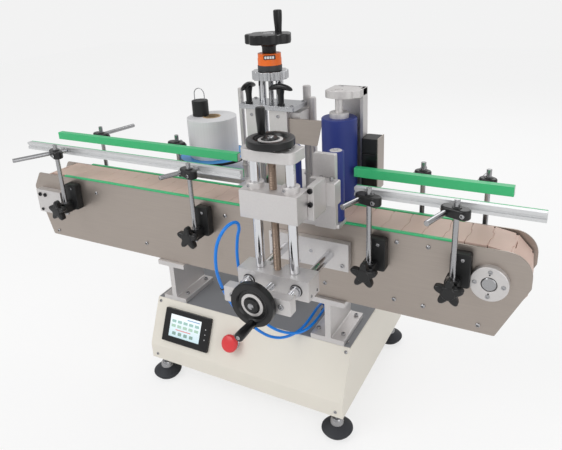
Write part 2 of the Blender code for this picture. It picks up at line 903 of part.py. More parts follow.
def conveyor_support(name, side):
    top = plate_bottom - seat_gap
    bottom = deck_top + seat_gap
    foot_edge_x = cabinet_left if side < 0 else cabinet_right
    foot_x = foot_edge_x - side * support_foot_width / 2
    web_x = foot_x - side * support_shift
    foot, flange, web = support_foot_width / 2, support_width / 2, support_web / 2
    outline = [
        (foot_x - foot, bottom), (foot_x + foot, bottom), (foot_x + foot, bottom + support_plate),
        (web_x + web, bottom + support_plate), (web_x + web, top - support_plate),
        (web_x + flange, top - support_plate), (web_x + flange, top), (web_x - flange, top),
        (web_x - flange, top - support_plate), (web_x - web, top - support_plate),
        (web_x - web, bottom + support_plate), (foot_x - foot, bottom + support_plate),
    ]
    flat(name, outline, -support_depth / 2, support_depth, "aluminium", root, "y")


cabinet()
conveyor_support("conveyor_support_left", -1)
conveyor_support("conveyor_support_right", 1)


# Screen and stop button

def panel_block(name, from_left, drop, width, height, low, high, look, parent=root):
    """A box on the sloping panel, its middle at a place and between two lifts."""
    bm = bmesh.new()
    bmesh.ops.create_cube(bm, size=1.0)
    bmesh.ops.scale(bm, vec=(width, height, high - low), verts=bm.verts)
    return from_bmesh(name, bm, look, parent, on_panel(from_left, drop, (low + high) / 2), panel_turn)


screen_middle = screen_left + screen_width / 2
bezel = panel_block("screen_bezel", screen_middle, screen_drop, screen_width, screen_height, seat_gap,
                    seat_gap + screen_thickness, "black_plastic")
window = panel_block("screen_window", screen_middle, screen_drop, display_width, display_height,
                     screen_thickness - display_depth, screen_thickness + overrun, "black_plastic")
cut(bezel, window)
panel_block("screen_display", screen_middle, screen_drop, display_width - 2 * seat_gap,
            display_height - 2 * seat_gap,
            screen_thickness - display_depth + seat_gap, screen_thickness, "glass")

stop_pivot = pivot("stop_axis", on_panel(stop_left, stop_drop), root)
stop_top = stop_lift + stop_cap
turned("stop_button", [
    (0.0, stop_top + stop_dome), (stop_radius * stop_crown_share,
                                  stop_top + stop_dome * stop_crown_height_share),
    (stop_radius, stop_top - stop_dome),
    (stop_radius, stop_lift), (stop_stem_radius, stop_lift), (stop_stem_radius, -stop_inside),
    (0.0, -stop_inside),
], on_panel(stop_left, stop_drop), panel_normal, "red", stop_pivot)


# Side guides: brackets and knobs on the plates, posts that slide up, rails that slide in

bracket_low = plate_top - bracket_drop
rod_z = belt_top + rail_rise + rail_height / 2
knob_front = post_reach + boss_front


def star_outline(x, z):
    points = []
    for step in range(knob_points):
        angle = 2 * math.pi * step / knob_points
        wave = (1 + math.cos(knob_lobes * angle)) / 2
        radius = knob_valley + (knob_radius - knob_valley) * wave
        points.append((x - radius * math.sin(angle), z + radius * math.cos(angle)))
    return points


def post_bracket(name, x, side):
    """On the side plate: a body, a boss with a vertical bore for the post, and its star knob."""
    plate = side_plates[side]
    near, far = sorted((side * (plate_outer - sink), side * (plate_outer + bracket_depth)))
    left = x - bracket_left if side < 0 else x + bracket_left - bracket_width
    body = block(name + "_body", (left, near, bracket_low), (left + bracket_width, far,
                                                             bracket_low + bracket_height),
                 "black_plastic", root)
    near, far = sorted((side * (plate_outer + bracket_depth / 2), side * (post_reach + boss_front)))
    boss_low = bracket_low - boss_drop
    boss = block(name + "_boss", (x - boss_half_width, near, boss_low),
                 (x + boss_half_width, far, boss_low + boss_height), "black_plastic", root)
    z = boss_low + boss_height / 2
    stem_low, stem_high = sorted((side * (knob_front - sink), side * (knob_front + knob_stem_length + sink)))
    stem = rod(name + "_knob_stem", knob_stem_radius, (x, stem_low, z), "y", stem_high - stem_low,
               "black_plastic",
               root, small_steps)
    start = knob_front + knob_stem_length
    low = start if side > 0 else -start - knob_thickness
    knob = flat(name + "_knob", star_outline(x, z), low, knob_thickness, "black_plastic", root, "y")
    fuse(plate, body, boss, stem, knob)
    cut(plate, rod(name + "_bore", post_radius + slide_gap, (x, side * post_reach, boss_low - overrun), "z",
                   bracket_height + 2 * overrun, "black_plastic", root, small_steps))


def clamped_post(name, x, side, angle, parent):
    """A vertical post through a rounded clamp, with a bore beside it for the rail's rod."""
    outline = []
    for end, centre in ((1, clamp_right - clamp_half_depth), (-1, -clamp_left + clamp_half_depth)):
        for step in range(clamp_arc_steps + 1):
            turn = -math.pi / 2 + math.pi * step / clamp_arc_steps
            outline.append((centre + end * clamp_half_depth * math.cos(turn),
                            end * clamp_half_depth * math.sin(turn)))
    spin = Matrix.Rotation(-angle, 3, "Z")
    middle = Vector((x, side * post_reach, 0.0))
    placed = [(middle + spin @ Vector((a, b, 0.0)))[:2] for a, b in outline]
    body = flat(name + "_clamp", placed, rod_z - clamp_half_height, 2 * clamp_half_height, "black_plastic",
                parent)
    outward = spin @ Vector((0.0, side, 0.0))
    start = middle + spin @ Vector((-rod_post_shift, 0.0, rod_z)) - outward * (clamp_half_depth + overrun)
    rod_bore = rod(name + "_rod_bore", post_radius + slide_gap, start, outward,
                   2 * (clamp_half_depth + overrun),
                   "black_plastic", parent, small_steps)
    low = bracket_low - boss_drop - post_below
    post = rod(name, post_radius, (x, side * post_reach, low), "z",
               rod_z + clamp_half_height + post_above - low,
               "steel", parent, small_steps)
    fuse(post, body)
    cut(post, rod_bore)


def guide_rail(name, side, start_share, end_share, post_shares, angle, outreaches):
    start, end = idler_x * start_share, idler_x * end_share
    spin = Matrix.Rotation(-angle, 3, "Z")
    outward = spin @ Vector((0.0, side, 0.0))
    height_pivot = pivot(f"{name}_height_axis", (idler_x * post_shares[0], side * post_reach, rod_z), root)
    reach_pivot = pivot(f"{name}_reach_axis", (idler_x * post_shares[0], side * post_reach, rod_z),
                        height_pivot)
    face = lane_half + strip_depth + seat_gap
    low = rod_z - rail_height / 2
    groove = rail_height * rail_groove_share
    profile = [
        (face, low), (face + rail_depth, low), (face + rail_depth, low + groove),
        (face + rail_depth - rail_groove, low + groove), (face + rail_depth - rail_groove,
                                                          low + rail_height - groove),
        (face + rail_depth, low + rail_height - groove), (face + rail_depth, low + rail_height),
        (face, low + rail_height),
    ]
    rail = flat(f"guide_rail_{name}", [(side * y, z) for y, z in profile], start, end - start, "aluminium",
                reach_pivot, "x")
    for end_name, share, outreach in zip(("a", "b"), post_shares, outreaches):
        x = idler_x * share
        post_bracket(f"bracket_{name}_{end_name}", x, side)
        clamped_post(f"guide_post_{name}_{end_name}", x, side, angle, height_pivot)
        through = Vector((x, side * post_reach, rod_z)) + spin @ Vector((-rod_post_shift, 0.0, 0.0))
        inner_y = face + rail_depth - rail_groove - rod_sink
        inward = (abs(through.y) - inner_y) / abs(outward.y)
        rod_start = through - outward * inward
        fuse(rail, rod(f"rod_{name}_{end_name}", post_radius, rod_start, outward, inward + outreach, "steel",
                       reach_pivot, small_steps))
    low_y, high_y = sorted((side * lane_half, side * (lane_half + strip_depth)))
    block(f"rail_strip_{name}", (start, low_y, low), (end, high_y, low + rail_height), "green", reach_pivot)


for rail_name, row in rail_layout_shares.items():
    guide_rail(rail_name, *row)


# Bottle press: fixed guide, saddle that moves in, slider that moves up

press_rod_z = plate_bottom + side_plate_height * press_rod_z_share
mount_front = -(plate_outer + seat_gap + mount_thickness)
bar_front = -(plate_outer + end_bar_front)
bar_back = bar_front + end_bar_thickness
saddle_low_y = -(plate_outer + saddle_front)
saddle_high_y = saddle_low_y + saddle_depth
saddle_top_z = press_rod_z + saddle_rod_drop
upright_y = (saddle_low_y + saddle_high_y) / 2
slider_low = saddle_top_z + slider_rise
slider_top = slider_low + slider_height
top_block_low = saddle_top_z + seat_gap + upright_length
top_block_top = top_block_low + top_block_height

block("press_mount_block", (press_x - mount_width / 2, mount_front, press_rod_z - mount_height / 2),
      (press_x + mount_width / 2, -(plate_outer + seat_gap), press_rod_z + mount_height / 2), "aluminium",
      root)


def press_guide():
    bar = block("press_guide", (press_x - end_bar_width / 2, bar_front, press_rod_z - end_bar_height / 2),
                (press_x + end_bar_width / 2, bar_back, press_rod_z + end_bar_height / 2), "aluminium", root)
    for side in (-1, 1):
        start = bar_back - sink
        fuse(bar, rod(f"press_rod_{side}", press_rod_radius, (press_x + side * press_rod_spacing / 2, start,
                      press_rod_z), "y", mount_front - seat_gap - start, "chrome", root))
    cut(bar, rod("end_bar_bore", reach_screw_radius + slide_gap, (press_x, bar_front - overrun,
                                                                  press_rod_z), "y",
                 end_bar_thickness + 2 * overrun, "aluminium", root))


def handwheel_profile():
    """Rim, web and hub of a handwheel, down its outer side; its face is at height zero."""
    rim_in = wheel_radius - wheel_rim
    face = wheel_thickness
    web_low = (wheel_thickness - wheel_web) / 2
    return [
        (0.0, face), (wheel_hub_radius, face), (wheel_hub_radius + wheel_bevel, web_low + wheel_web),
        (rim_in - wheel_bevel, web_low + wheel_web), (rim_in, face - wheel_bevel), (rim_in + wheel_bevel,
                                                                                    face),
        (wheel_radius - wheel_bevel, face), (wheel_radius, face - wheel_bevel), (wheel_radius, wheel_bevel),
        (wheel_radius - wheel_bevel, 0.0), (rim_in, 0.0), (rim_in - wheel_bevel, web_low),
        (wheel_hub_radius, web_low), (wheel_hub_radius, 0.0), (0.0, 0.0),
    ]


def crank(name, at, axis, parent):
    """A turned grip that spins on its pin, its axis out of the wheel's face."""
    profile = [
        (0.0, crank_length), (crank_radius * crank_nose_share, crank_length),
        (crank_radius, crank_length * crank_shoulder_share),
        (crank_radius * crank_waist_share, crank_length * crank_waist_height_share),
        (crank_neck_radius, crank_length * crank_foot_share),
        (crank_neck_radius, 0.0), (0.0, 0.0),
    ]
    return turned(name, profile, at, axis, "black_plastic", parent, steps=crank_steps)


press_guide()
reach_pivot = pivot("reach_wheel_axis", (press_x, bar_front, press_rod_z), root)
reach_back = bar_front - wheel_lift
reach_face = reach_back - wheel_thickness
reach_wheel = turned("reach_wheel", handwheel_profile(), (press_x, reach_back, press_rod_z),
                     (0.0, -1.0, 0.0),
                     "black_plastic", reach_pivot, steps=wheel_steps)
fuse(reach_wheel, rod("reach_screw", reach_screw_radius, (press_x, reach_back - sink, press_rod_z), "y",
                      sink - reach_screw_back - plate_outer - reach_back, "steel", reach_pivot))
reach_crank_pivot = pivot("reach_crank_axis", (press_x, reach_face, press_rod_z - crank_orbit), reach_pivot)
crank("reach_crank", (press_x, reach_face - seat_gap, press_rod_z - crank_orbit), (0.0, -1.0, 0.0),
      reach_crank_pivot)

saddle_pivot = pivot("saddle_axis", (press_x, upright_y, press_rod_z), root)


def saddle():
    body = block("saddle_block", (press_x - saddle_width / 2, saddle_low_y, saddle_top_z - saddle_height),
                 (press_x + saddle_width / 2, saddle_high_y, saddle_top_z), "aluminium", saddle_pivot)
    bores = [(x, press_rod_radius) for x in (-press_rod_spacing / 2, press_rod_spacing / 2)]
    bores.append((0.0, reach_screw_radius))
    for x, radius in bores:
        cut(body, rod(f"saddle_bore_{x:.3f}", radius + slide_gap, (press_x + x, saddle_low_y - overrun,
                                                                   press_rod_z),
                      "y", saddle_depth + 2 * overrun, "aluminium", saddle_pivot))
    cut(body, block("saddle_notch", (press_x - saddle_notch_width * saddle_notch_share,
                                     upright_y + lift_screw_radius + slide_gap,
                    saddle_top_z - saddle_notch_depth),
                    (press_x + saddle_notch_width * (1 - saddle_notch_share),
                    saddle_high_y + overrun, saddle_top_z + overrun), "aluminium", saddle_pivot))


def saddle_uprights():
    """Two rods from the saddle up into the top block that holds the lift screw."""
    half, corner = top_block_width / 2, top_block_corner
    back, front = upright_y + top_block_depth / 2, upright_y - top_block_depth / 2
    outline = [(press_x + half, back), (press_x - half, back)]
    for end in (-1, 1):
        for step in range(corner_steps + 1):
            turn = math.pi / 2 * (step if end < 0 else corner_steps - step) / corner_steps
            outline.append((press_x + end * (half - corner + corner * math.cos(turn)),
                            front + corner / 2 * (1 - math.sin(turn))))
    body = flat("saddle_uprights", outline, top_block_low, top_block_height, "chrome", saddle_pivot)
    for side in (-1, 1):
        fuse(body, rod(f"upright_{side}", press_rod_radius, (press_x + side * upright_spacing / 2, upright_y,
                       saddle_top_z + seat_gap), "z", top_block_low + sink - saddle_top_z - seat_gap,
                       "chrome",
                       saddle_pivot))
    cut(body, rod("saddle_top_bore", lift_screw_radius + slide_gap, (press_x, upright_y,
                                                                     top_block_low - overrun),
                  "z", top_block_height + 2 * overrun, "aluminium", saddle_pivot))


saddle()
saddle_uprights()

lift_pivot = pivot("lift_wheel_axis", (press_x, upright_y, top_block_top), saddle_pivot)
lift_face = top_block_top + wheel_lift
lift_screw_low = saddle_top_z + seat_gap
lift_wheel = turned("lift_wheel", handwheel_profile(), (press_x, upright_y, lift_face), "z", "black_plastic",
                    lift_pivot, steps=wheel_steps)
fuse(lift_wheel, rod("lift_screw", lift_screw_radius, (press_x, upright_y, lift_screw_low), "z",
                     lift_face + sink - lift_screw_low, "bronze", lift_pivot))
lift_crank_at = (press_x + crank_orbit * math.cos(lift_crank_angle),
                 upright_y + crank_orbit * math.sin(lift_crank_angle), lift_face + wheel_thickness)
lift_crank_pivot = pivot("lift_crank_axis", lift_crank_at, lift_pivot)
crank("lift_crank", Vector(lift_crank_at) + Vector((0.0, 0.0, seat_gap)), "z", lift_crank_pivot)

slider_pivot = pivot("slider_axis", (press_x, upright_y, slider_low), saddle_pivot)
slider_right = press_x + slider_width / 2
arm_left = slider_right
arm_front = upright_y - slider_depth / 2 + arm_front_inset
arm_back = arm_front + arm_length
arm_top = slider_top - arm_drop
cylinder_front = arm_back + seat_gap
cylinder_back = cylinder_front + cylinder_depth
cylinder_right = arm_left + cylinder_width - arm_flange_reach + cylinder_width * cylinder_shift_share
cylinder_left = cylinder_right - cylinder_width
carrier_front = cylinder_back + carrier_gap
carrier_right = cylinder_right - arm_thickness
carrier_low = belt_top + carrier_below


def slider():
    """The block on the two rods, its split collars, and the angle arm that carries the cylinder."""
    body = block("slider_block", (press_x - slider_width / 2, upright_y - slider_depth / 2, slider_low),
                 (slider_right, upright_y + slider_depth / 2, slider_top), "aluminium", slider_pivot)
    outline = [
        (arm_left - sink, arm_front), (arm_left + arm_thickness, arm_front), (arm_left + arm_thickness,
                                                                              arm_back),
        (arm_left + arm_thickness - arm_flange_reach, arm_back),
        (arm_left + arm_thickness - arm_flange_reach, arm_back - arm_flange),
        (arm_left, arm_back - arm_flange),
        (arm_left, upright_y + slider_depth / 2), (arm_left - sink, upright_y + slider_depth / 2),
    ]
    fuse(body, flat("press_arm", outline, arm_top - arm_height, arm_height, "aluminium", slider_pivot))
    bores = [(0.0, lift_screw_radius)]
    for side in (-1, 1):
        x = side * upright_spacing / 2
        fuse(body, rod(f"collar_{side}", collar_radius, (press_x + x, upright_y, slider_top - sink), "z",
                       collar_height + sink, "aluminium", slider_pivot))
        bores.append((x, press_rod_radius))
    for x, radius in bores:
        cut(body, rod(f"slider_bore_{x:.3f}", radius + slide_gap, (press_x + x, upright_y,
                                                                   slider_low - overrun), "z",
                      slider_height + collar_height + 2 * overrun, "aluminium", slider_pivot))


def guide_pin_spots():
    middle = (cylinder_left + cylinder_right) / 2 - cylinder_shift
    z = arm_top - cylinder_height / 2
    return [(middle + side * guide_pin_spacing / 2, z) for side in (-1, 1)]


def press_cylinder():
    body = block("press_cylinder", (cylinder_left, cylinder_front, arm_top - cylinder_height),
                 (cylinder_right, cylinder_back, arm_top), "aluminium", slider_pivot)
    for number, (x, z) in enumerate(guide_pin_spots()):
        cut(body, rod(f"cylinder_bore_{number}", guide_pin_radius + slide_gap,
                      (x, cylinder_back - guide_pin_length - seat_gap, z), "y", guide_pin_length + overrun,
                      "aluminium", slider_pivot, small_steps))


carrier_pivot = pivot("carrier_axis", (carrier_right - carrier_width / 2, carrier_front, carrier_low),
                      slider_pivot)
roller_y = carrier_front + carrier_depth + press_roller_behind
yoke_top = carrier_low + yoke_thickness
roller_low = yoke_top + seat_gap
roller_xs = (wrap_x - press_roller_spacing / 2, wrap_x + press_roller_spacing / 2)


def press_carrier():
    bar = block("press_carrier", (carrier_right - carrier_width, carrier_front, carrier_low),
                (carrier_right, carrier_front + carrier_depth, carrier_low + carrier_height), "aluminium",
                carrier_pivot)
    yoke = block("carrier_yoke", (roller_xs[0] - press_roller_radius, carrier_front + carrier_depth / 2,
                                  carrier_low),
                 (roller_xs[1] + press_roller_radius, roller_y + press_roller_radius, yoke_top), "aluminium",
                 carrier_pivot)
    fuse(bar, yoke)
    for number, x in enumerate(roller_xs):
        length = press_roller_length + 2 * seat_gap + roller_pin_above + overrun
        fuse(bar, rod(f"roller_pin_{number}", roller_pin_radius, (x, roller_y, yoke_top - overrun), "z",
                      length,
                      "steel", carrier_pivot, small_steps))
    for number, (x, z) in enumerate(guide_pin_spots()):
        start = cylinder_back - guide_pin_length + seat_gap
        fuse(bar, rod(f"guide_pin_{number}", guide_pin_radius, (x, start, z), "y",
                      carrier_front + carrier_depth / 2 - start, "steel", carrier_pivot, small_steps))
    bore = roller_pin_radius + slide_gap
    ring = [(bore, press_roller_length), (press_roller_radius, press_roller_length), (press_roller_radius,
                                                                                      0.0),
            (bore, 0.0)]
    for side, x in zip(("left", "right"), roller_xs):
        axis = pivot(f"press_roller_{side}_axis", (x, roller_y, roller_low), carrier_pivot)
        turned(f"press_roller_{side}", ring, (x, roller_y, roller_low), "z", "roller_blue", axis,
               closed=True)


slider()
press_cylinder()
press_carrier()


# Wrap roller between the two arms of its bracket

wrap_low = belt_top + wrap_rise
wrap_top = wrap_low + wrap_length
wrap_arm_low = wrap_top + wrap_collar_height + wrap_arm_gap
wrap_arm_top = wrap_arm_low + wrap_arm_thickness
lower_arm_top = belt_top - seat_gap
lower_arm_low = lower_arm_top - wrap_lower_arm
upright_right = wrap_x + wrap_upright_right
upright_left = wrap_x - wrap_arm_half + wrap_flange


def wrap_arm(name, low, height, front):
    """An arm plate with a round front about the roller's axis."""
    half = wrap_arm_half
    points = [(upright_right, wrap_upright_y + overrun), (wrap_x - half, wrap_upright_y + overrun)]
    for step in range(wrap_nose_steps + 1):
        turn = math.pi * step / wrap_nose_steps
        points.append((wrap_x - half * math.cos(turn), wrap_y - front * math.sin(turn)))
    points.append((upright_right, wrap_y + front / 2))
    return flat(name, points, low, height, "aluminium", root)


def wrap_bracket():
    outline = [
        (upright_left, wrap_upright_y), (upright_right - wrap_flange, wrap_upright_y),
        (upright_right - wrap_flange, wrap_upright_y - wrap_flange_depth),
        (upright_right, wrap_upright_y - wrap_flange_depth),
        (upright_right, wrap_upright_y + wrap_upright_thickness),
        (upright_left, wrap_upright_y + wrap_upright_thickness),
    ]
    low = belt_top - wrap_upright_drop
    upright = flat("wrap_bracket", outline, low, wrap_arm_top - low, "aluminium", root)
    top_arm = wrap_arm("wrap_top_arm", wrap_arm_low, wrap_arm_thickness, wrap_arm_front)
    clear = wrap_y - plate_outer - strip_height
    lower_arm = wrap_arm("wrap_lower_arm", lower_arm_low, wrap_lower_arm, clear)
    foot = block("wrap_foot", (upright_left, plate_outer + seat_gap, low),
                 (upright_right - wrap_flange, wrap_upright_y + overrun, low + wrap_foot_height),
                 "aluminium", root)
    fuse(upright, top_arm, lower_arm, foot)


wrap_bracket()
wrap_pivot = pivot("wrap_roller_axis", (wrap_x, wrap_y, wrap_low), root)
shaft_low = lower_arm_top + seat_gap - wrap_low
shaft_high = wrap_arm_low - seat_gap - wrap_low
turned("wrap_roller", [
    (0.0, shaft_high), (wrap_shaft_radius, shaft_high), (wrap_shaft_radius,
                                                         wrap_length + wrap_collar_height),
    (wrap_collar_radius, wrap_length + wrap_collar_height), (wrap_collar_radius, wrap_length),
    (wrap_radius, wrap_length), (wrap_radius, 0.0), (wrap_shaft_radius, 0.0), (wrap_shaft_radius, shaft_low),
    (0.0, shaft_low),
], (wrap_x, wrap_y, wrap_low), "z", "roller_blue", wrap_pivot, steps=wheel_steps)
motor_low = belt_top + wrap_motor_rise
block("wrap_motor", (upright_right + seat_gap, wrap_upright_y + wrap_upright_thickness - wrap_motor_depth,
                     motor_low),
      (upright_right + seat_gap + wrap_motor_width, wrap_upright_y + wrap_upright_thickness,
       motor_low + wrap_motor_height), "black_plastic", root, wrap_motor_bevel)


# Label head: stand, two posts and the scalloped flange that carries the screw

stand_low = deck_top + seat_gap
stand_top = stand_low + stand_foot_thickness + stand_height
post_top = plate_top + head_post_top
flange_low = post_top
flange_top = flange_low + flange_thickness


def lobed_outline(middle_x, middle_y, radius, depth, lobes, points):
    """A round outline with shallow hollows between its lobes."""
    outline = []
    for step in range(points):
        angle = 2 * math.pi * step / points
        wave = (1 - math.cos(lobes * angle)) / 2
        outline.append((middle_x + (radius - depth * wave ** lobe_power) * math.cos(angle),
                        middle_y + (radius - depth * wave ** lobe_power) * math.sin(angle)))
    return outline


def head_stand():
    foot = block("head_stand", (head_x - stand_foot_width / 2,
                                head_y - stand_foot_depth * stand_front_share, stand_low),
                 (head_x + stand_foot_width / 2, head_y + stand_foot_depth * (1 - stand_front_share),
                  stand_low + stand_foot_thickness),
                 "aluminium", root)
    column = block("stand_column", (head_x - stand_width / 2, head_y - stand_depth / 2, stand_low
                   + stand_foot_thickness / 2), (head_x + stand_width / 2, head_y + stand_depth / 2,
                                                 stand_top),
                   "aluminium", root)
    fuse(foot, column)


def head_posts():
    """Two guide posts into the scalloped flange that carries the head screw's bearing."""
    flange = flat("head_posts", lobed_outline(head_x, head_y, flange_radius, flange_scallop, flange_lobes,
                  flange_points), flange_low, flange_thickness, "chrome", root)
    for side in (-1, 1):
        fuse(flange, rod(f"head_post_{side}", head_post_radius, (head_x + side * head_post_spacing / 2,
                                                                 head_y,
                         stand_top + seat_gap), "z", flange_low + sink - stand_top - seat_gap, "chrome",
                         root))
    cut(flange, rod("flange_bore", head_screw_radius + screw_clearance,
                    (head_x, head_y, flange_low - overrun), "z",
                    flange_thickness + 2 * overrun, "chrome", root, small_steps))


head_stand()
head_posts()
indicator_low = flange_top + seat_gap
turned("position_indicator", [
    (indicator_bore, indicator_height), (ring_radius, indicator_height), (ring_radius, 0.0),
    (indicator_bore, 0.0),
], (head_x, head_y, indicator_low), "z", "orange", root, closed=True)

head_wheel_pivot = pivot("head_wheel_axis", (head_x, head_y, flange_top), root)
hub_low = indicator_low + indicator_height + seat_gap
head_wheel_low = hub_low + head_hub_height


def head_wheel():
    wheel = flat("head_wheel", lobed_outline(head_x, head_y, head_wheel_radius, head_wheel_scallop,
                 head_wheel_lobes, head_wheel_points), head_wheel_low, head_wheel_thickness, "black_plastic",
                 head_wheel_pivot)
    hub = rod("head_hub", head_hub_radius, (head_x, head_y, hub_low), "z", head_hub_height + overrun,
              "black_plastic", head_wheel_pivot, small_steps)
    screw_low = stand_top + stand_foot_thickness
    screw = rod("head_screw", head_screw_radius, (head_x, head_y, screw_low), "z",
                hub_low + overrun - screw_low,
                "black_plastic", head_wheel_pivot, small_steps)
    fuse(wheel, hub, screw)


head_wheel()
head_crank_at = Vector((head_x + head_crank_orbit * math.cos(head_crank_angle),
                        head_y + head_crank_orbit * math.sin(head_crank_angle),
                        head_wheel_low + head_wheel_thickness + seat_gap))
head_crank_pivot = pivot("head_crank_axis", head_crank_at, head_wheel_pivot)
crank("head_crank", head_crank_at, "z", head_crank_pivot)


# Head carriage: two plates and two columns that slide on the posts

carriage_pivot = pivot("carriage_axis", (head_x, head_y, plate_top), root)
top_plate_top = post_top - top_plate_drop
top_plate_low = top_plate_top - top_plate_thickness
lower_plate_low = plate_top - lower_plate_drop
lower_plate_top = lower_plate_low + lower_plate_thickness


def head_carriage():
    """A top and a lower plate on the posts, joined by two columns, and the posts the label web runs round."""
    middle = head_x + top_plate_shift
    top = block("head_carriage", (middle - top_plate_width / 2, top_plate_front, top_plate_low),
                (middle + top_plate_width / 2, top_plate_front + top_plate_depth, top_plate_top),
                "aluminium",
                carriage_pivot)
    outline = [
        (head_x + lower_plate_right, lower_plate_front), (head_x + lower_plate_right, lower_plate_back),
        (head_x - lower_arm_left, lower_plate_back), (head_x - lower_arm_left, lower_arm_front),
        (head_x - lower_plate_left, lower_arm_front), (head_x - lower_plate_left, lower_plate_front),
    ]
    fuse(top, flat("head_lower_plate", outline, lower_plate_low, lower_plate_thickness, "aluminium",
                   carriage_pivot))
    column_low = lower_plate_top - sink
    for side, left, width in (("left", left_column_left, left_column_width),
                              ("right", right_column_left, right_column_width)):
        fuse(top, block(f"column_{side}", (head_x - left, column_front, column_low),
                        (head_x - left + width, column_front + column_depth, top_plate_low + sink),
                        "aluminium",
                        carriage_pivot))
    for number, (x, y, radius, height) in enumerate(web_post_places):
        fuse(top, rod(f"web_post_{number}", radius, (head_x + x, y, column_low), "z", height, "aluminium",
                      carriage_pivot, small_steps))
    bores = [(side * head_post_spacing / 2, head_post_radius) for side in (-1, 1)]
    bores.append((0.0, head_screw_radius))
    for x, radius in bores:
        cut(top, rod(f"carriage_bore_{x:.3f}", radius + slide_gap, (head_x + x, head_y,
                                                                    lower_plate_low - overrun),
                     "z", top_plate_top - lower_plate_low + 2 * overrun, "aluminium", carriage_pivot))


def peel_plate():
    """The sheet whose edge the labels peel off at, with a folded top lip."""
    left = head_x + right_column_width - right_column_left + seat_gap
    top = top_plate_low - peel_top_drop
    outline = [
        (left, top - peel_height), (left + peel_length - peel_slant, top - peel_height),
        (left + peel_length, top), (left, top),
    ]
    face = flat("peel_plate", outline, peel_y, peel_sheet, "stainless", carriage_pivot, "y")
    fuse(face, block("peel_lip", (left, peel_y + peel_sheet - sink, top - peel_sheet),
                     (left + peel_length, peel_y + peel_lip, top), "stainless", carriage_pivot))


head_carriage()
peel_plate()

feed_pivot = pivot("feed_roller_axis", (head_x + feed_x_shift, feed_y, lower_plate_top), carriage_pivot)
turned("feed_roller", [
    (0.0, feed_length + feed_spindle_length), (feed_spindle, feed_length + feed_spindle_length),
    (feed_spindle, feed_length), (feed_radius, feed_length), (feed_radius, 0.0), (0.0, 0.0),
], (head_x + feed_x_shift, feed_y, lower_plate_top + seat_gap), "z", "roller_blue", feed_pivot)


def grip(name, x, along, parent):
    """A T-shaped clamp handle: a stem and a bar across its top."""
    base = top_plate_top + seat_gap
    stem = rod(name, grip_stem_radius, (x, grip_y, base), "z", grip_stem_length + grip_radius,
               "black_plastic", parent, small_steps)
    across = Vector(along)
    start = Vector((x, grip_y, base + grip_stem_length + grip_radius)) - across * grip_half_length
    bar = rod(name + "_bar", grip_radius, start, across, 2 * grip_half_length, "black_plastic", parent,
              small_steps)
    fuse(stem, bar)


for grip_name, grip_x, grip_along in (("clamp_handle_left", left_grip_x, (0.0, 1.0, 0.0)),
                                      ("clamp_handle_right", right_grip_x, (1.0, 0.0, 0.0))):
    grip_pivot = pivot(grip_name + "_axis", (head_x + grip_x, grip_y, top_plate_top), carriage_pivot)
    grip(grip_name, head_x + grip_x, grip_along, grip_pivot)


# Label reel on its tray

tray_low = lower_plate_top + tray_rise
tray_pivot = pivot("reel_axis", (reel_x, reel_y, lower_plate_top), carriage_pivot)
spindle_low = lower_plate_top + seat_gap
tray_top = tray_low + tray_thickness
spindle_top = tray_top + spindle_above


def reel_tray():
    base = tray_top - spindle_low
    profile = [
        (0.0, spindle_top - spindle_low), (spindle_radius, spindle_top - spindle_low),
        (spindle_radius, base),
        (tray_radius, base), (tray_radius, base - tray_rim), (tray_radius - tray_rim, base - tray_thickness),
        (spindle_radius, base - tray_thickness), (spindle_radius, 0.0), (0.0, 0.0),
    ]
    turned("reel_tray", profile, (reel_x, reel_y, spindle_low), "z", "tray_blue", tray_pivot,
           steps=wheel_steps)


def label_reel():
    """The roll, and on it a block with a bent wire loop to lift it by."""
    ring = [(reel_bore, reel_height), (reel_radius, reel_height), (reel_radius, 0.0), (reel_bore, 0.0)]
    roll = turned("label_reel", ring, (reel_x, reel_y, tray_top + seat_gap), "z", "white", tray_pivot,
                  closed=True,
                  steps=wheel_steps)
    low = tray_top + seat_gap + reel_height - sink
    x, y = reel_x + weight_shift, reel_y
    body = block("weight_body", (x - weight_width / 2, y - weight_depth / 2, low),
                 (x + weight_width / 2, y + weight_depth / 2, low + weight_height), "black_plastic",
                 tray_pivot,
                 wheel_bevel / 2)
    top = low + weight_height
    points = [Vector((x - loop_radius, y, top - overrun))]
    for step in range(loop_steps + 1):
        angle = math.pi * step / loop_steps
        points.append(Vector((x - loop_radius * math.cos(angle), y, top + loop_height - loop_radius
                              + loop_radius * math.sin(angle))))
    points.append(Vector((x + loop_radius, y, top - overrun)))
    loop = tube("weight_loop", points, loop_wire, "steel", tray_pivot)
    fuse(roll, body, solid(loop))


def tube(name, points, radius, look, parent):
    """A round wire or hose along points of the machine."""
    curve = bpy.data.curves.new(name, "CURVE")
    curve.dimensions = "3D"
    curve.bevel_depth = radius
    curve.bevel_resolution = 2
    curve.use_fill_caps = True
    spline = curve.splines.new("POLY")
    spline.points.add(len(points) - 1)
    for knot, point in zip(spline.points, points):
        knot.co = (*point, 1.0)
    thing = bpy.data.objects.new(name, curve)
    machine.objects.link(thing)
    curve.materials.append(finish(look))
    place(thing, parent, (0.0, 0.0, 0.0))
    return thing


def solid(thing):
    """The same shape as a closed mesh, for a Boolean step."""
    bpy.context.view_layer.update()
    mesh = bpy.data.meshes.new_from_object(thing.evaluated_get(bpy.context.evaluated_depsgraph_get()))
    bm = bmesh.new()
    bm.from_mesh(mesh)
    bpy.data.meshes.remove(mesh)
    bmesh.ops.remove_doubles(bm, verts=bm.verts, dist=0.00001)
    bmesh.ops.recalc_face_normals(bm, faces=bm.faces)
    name, parent = thing.name, thing.parent
    look = thing.data.materials[0].name
    bpy.data.objects.remove(thing)
    return from_bmesh(name, bm, look, parent, (0.0, 0.0, 0.0))


reel_tray()
label_reel()


# Air hose: up from the deck, over at the left upright, and down to the deck again

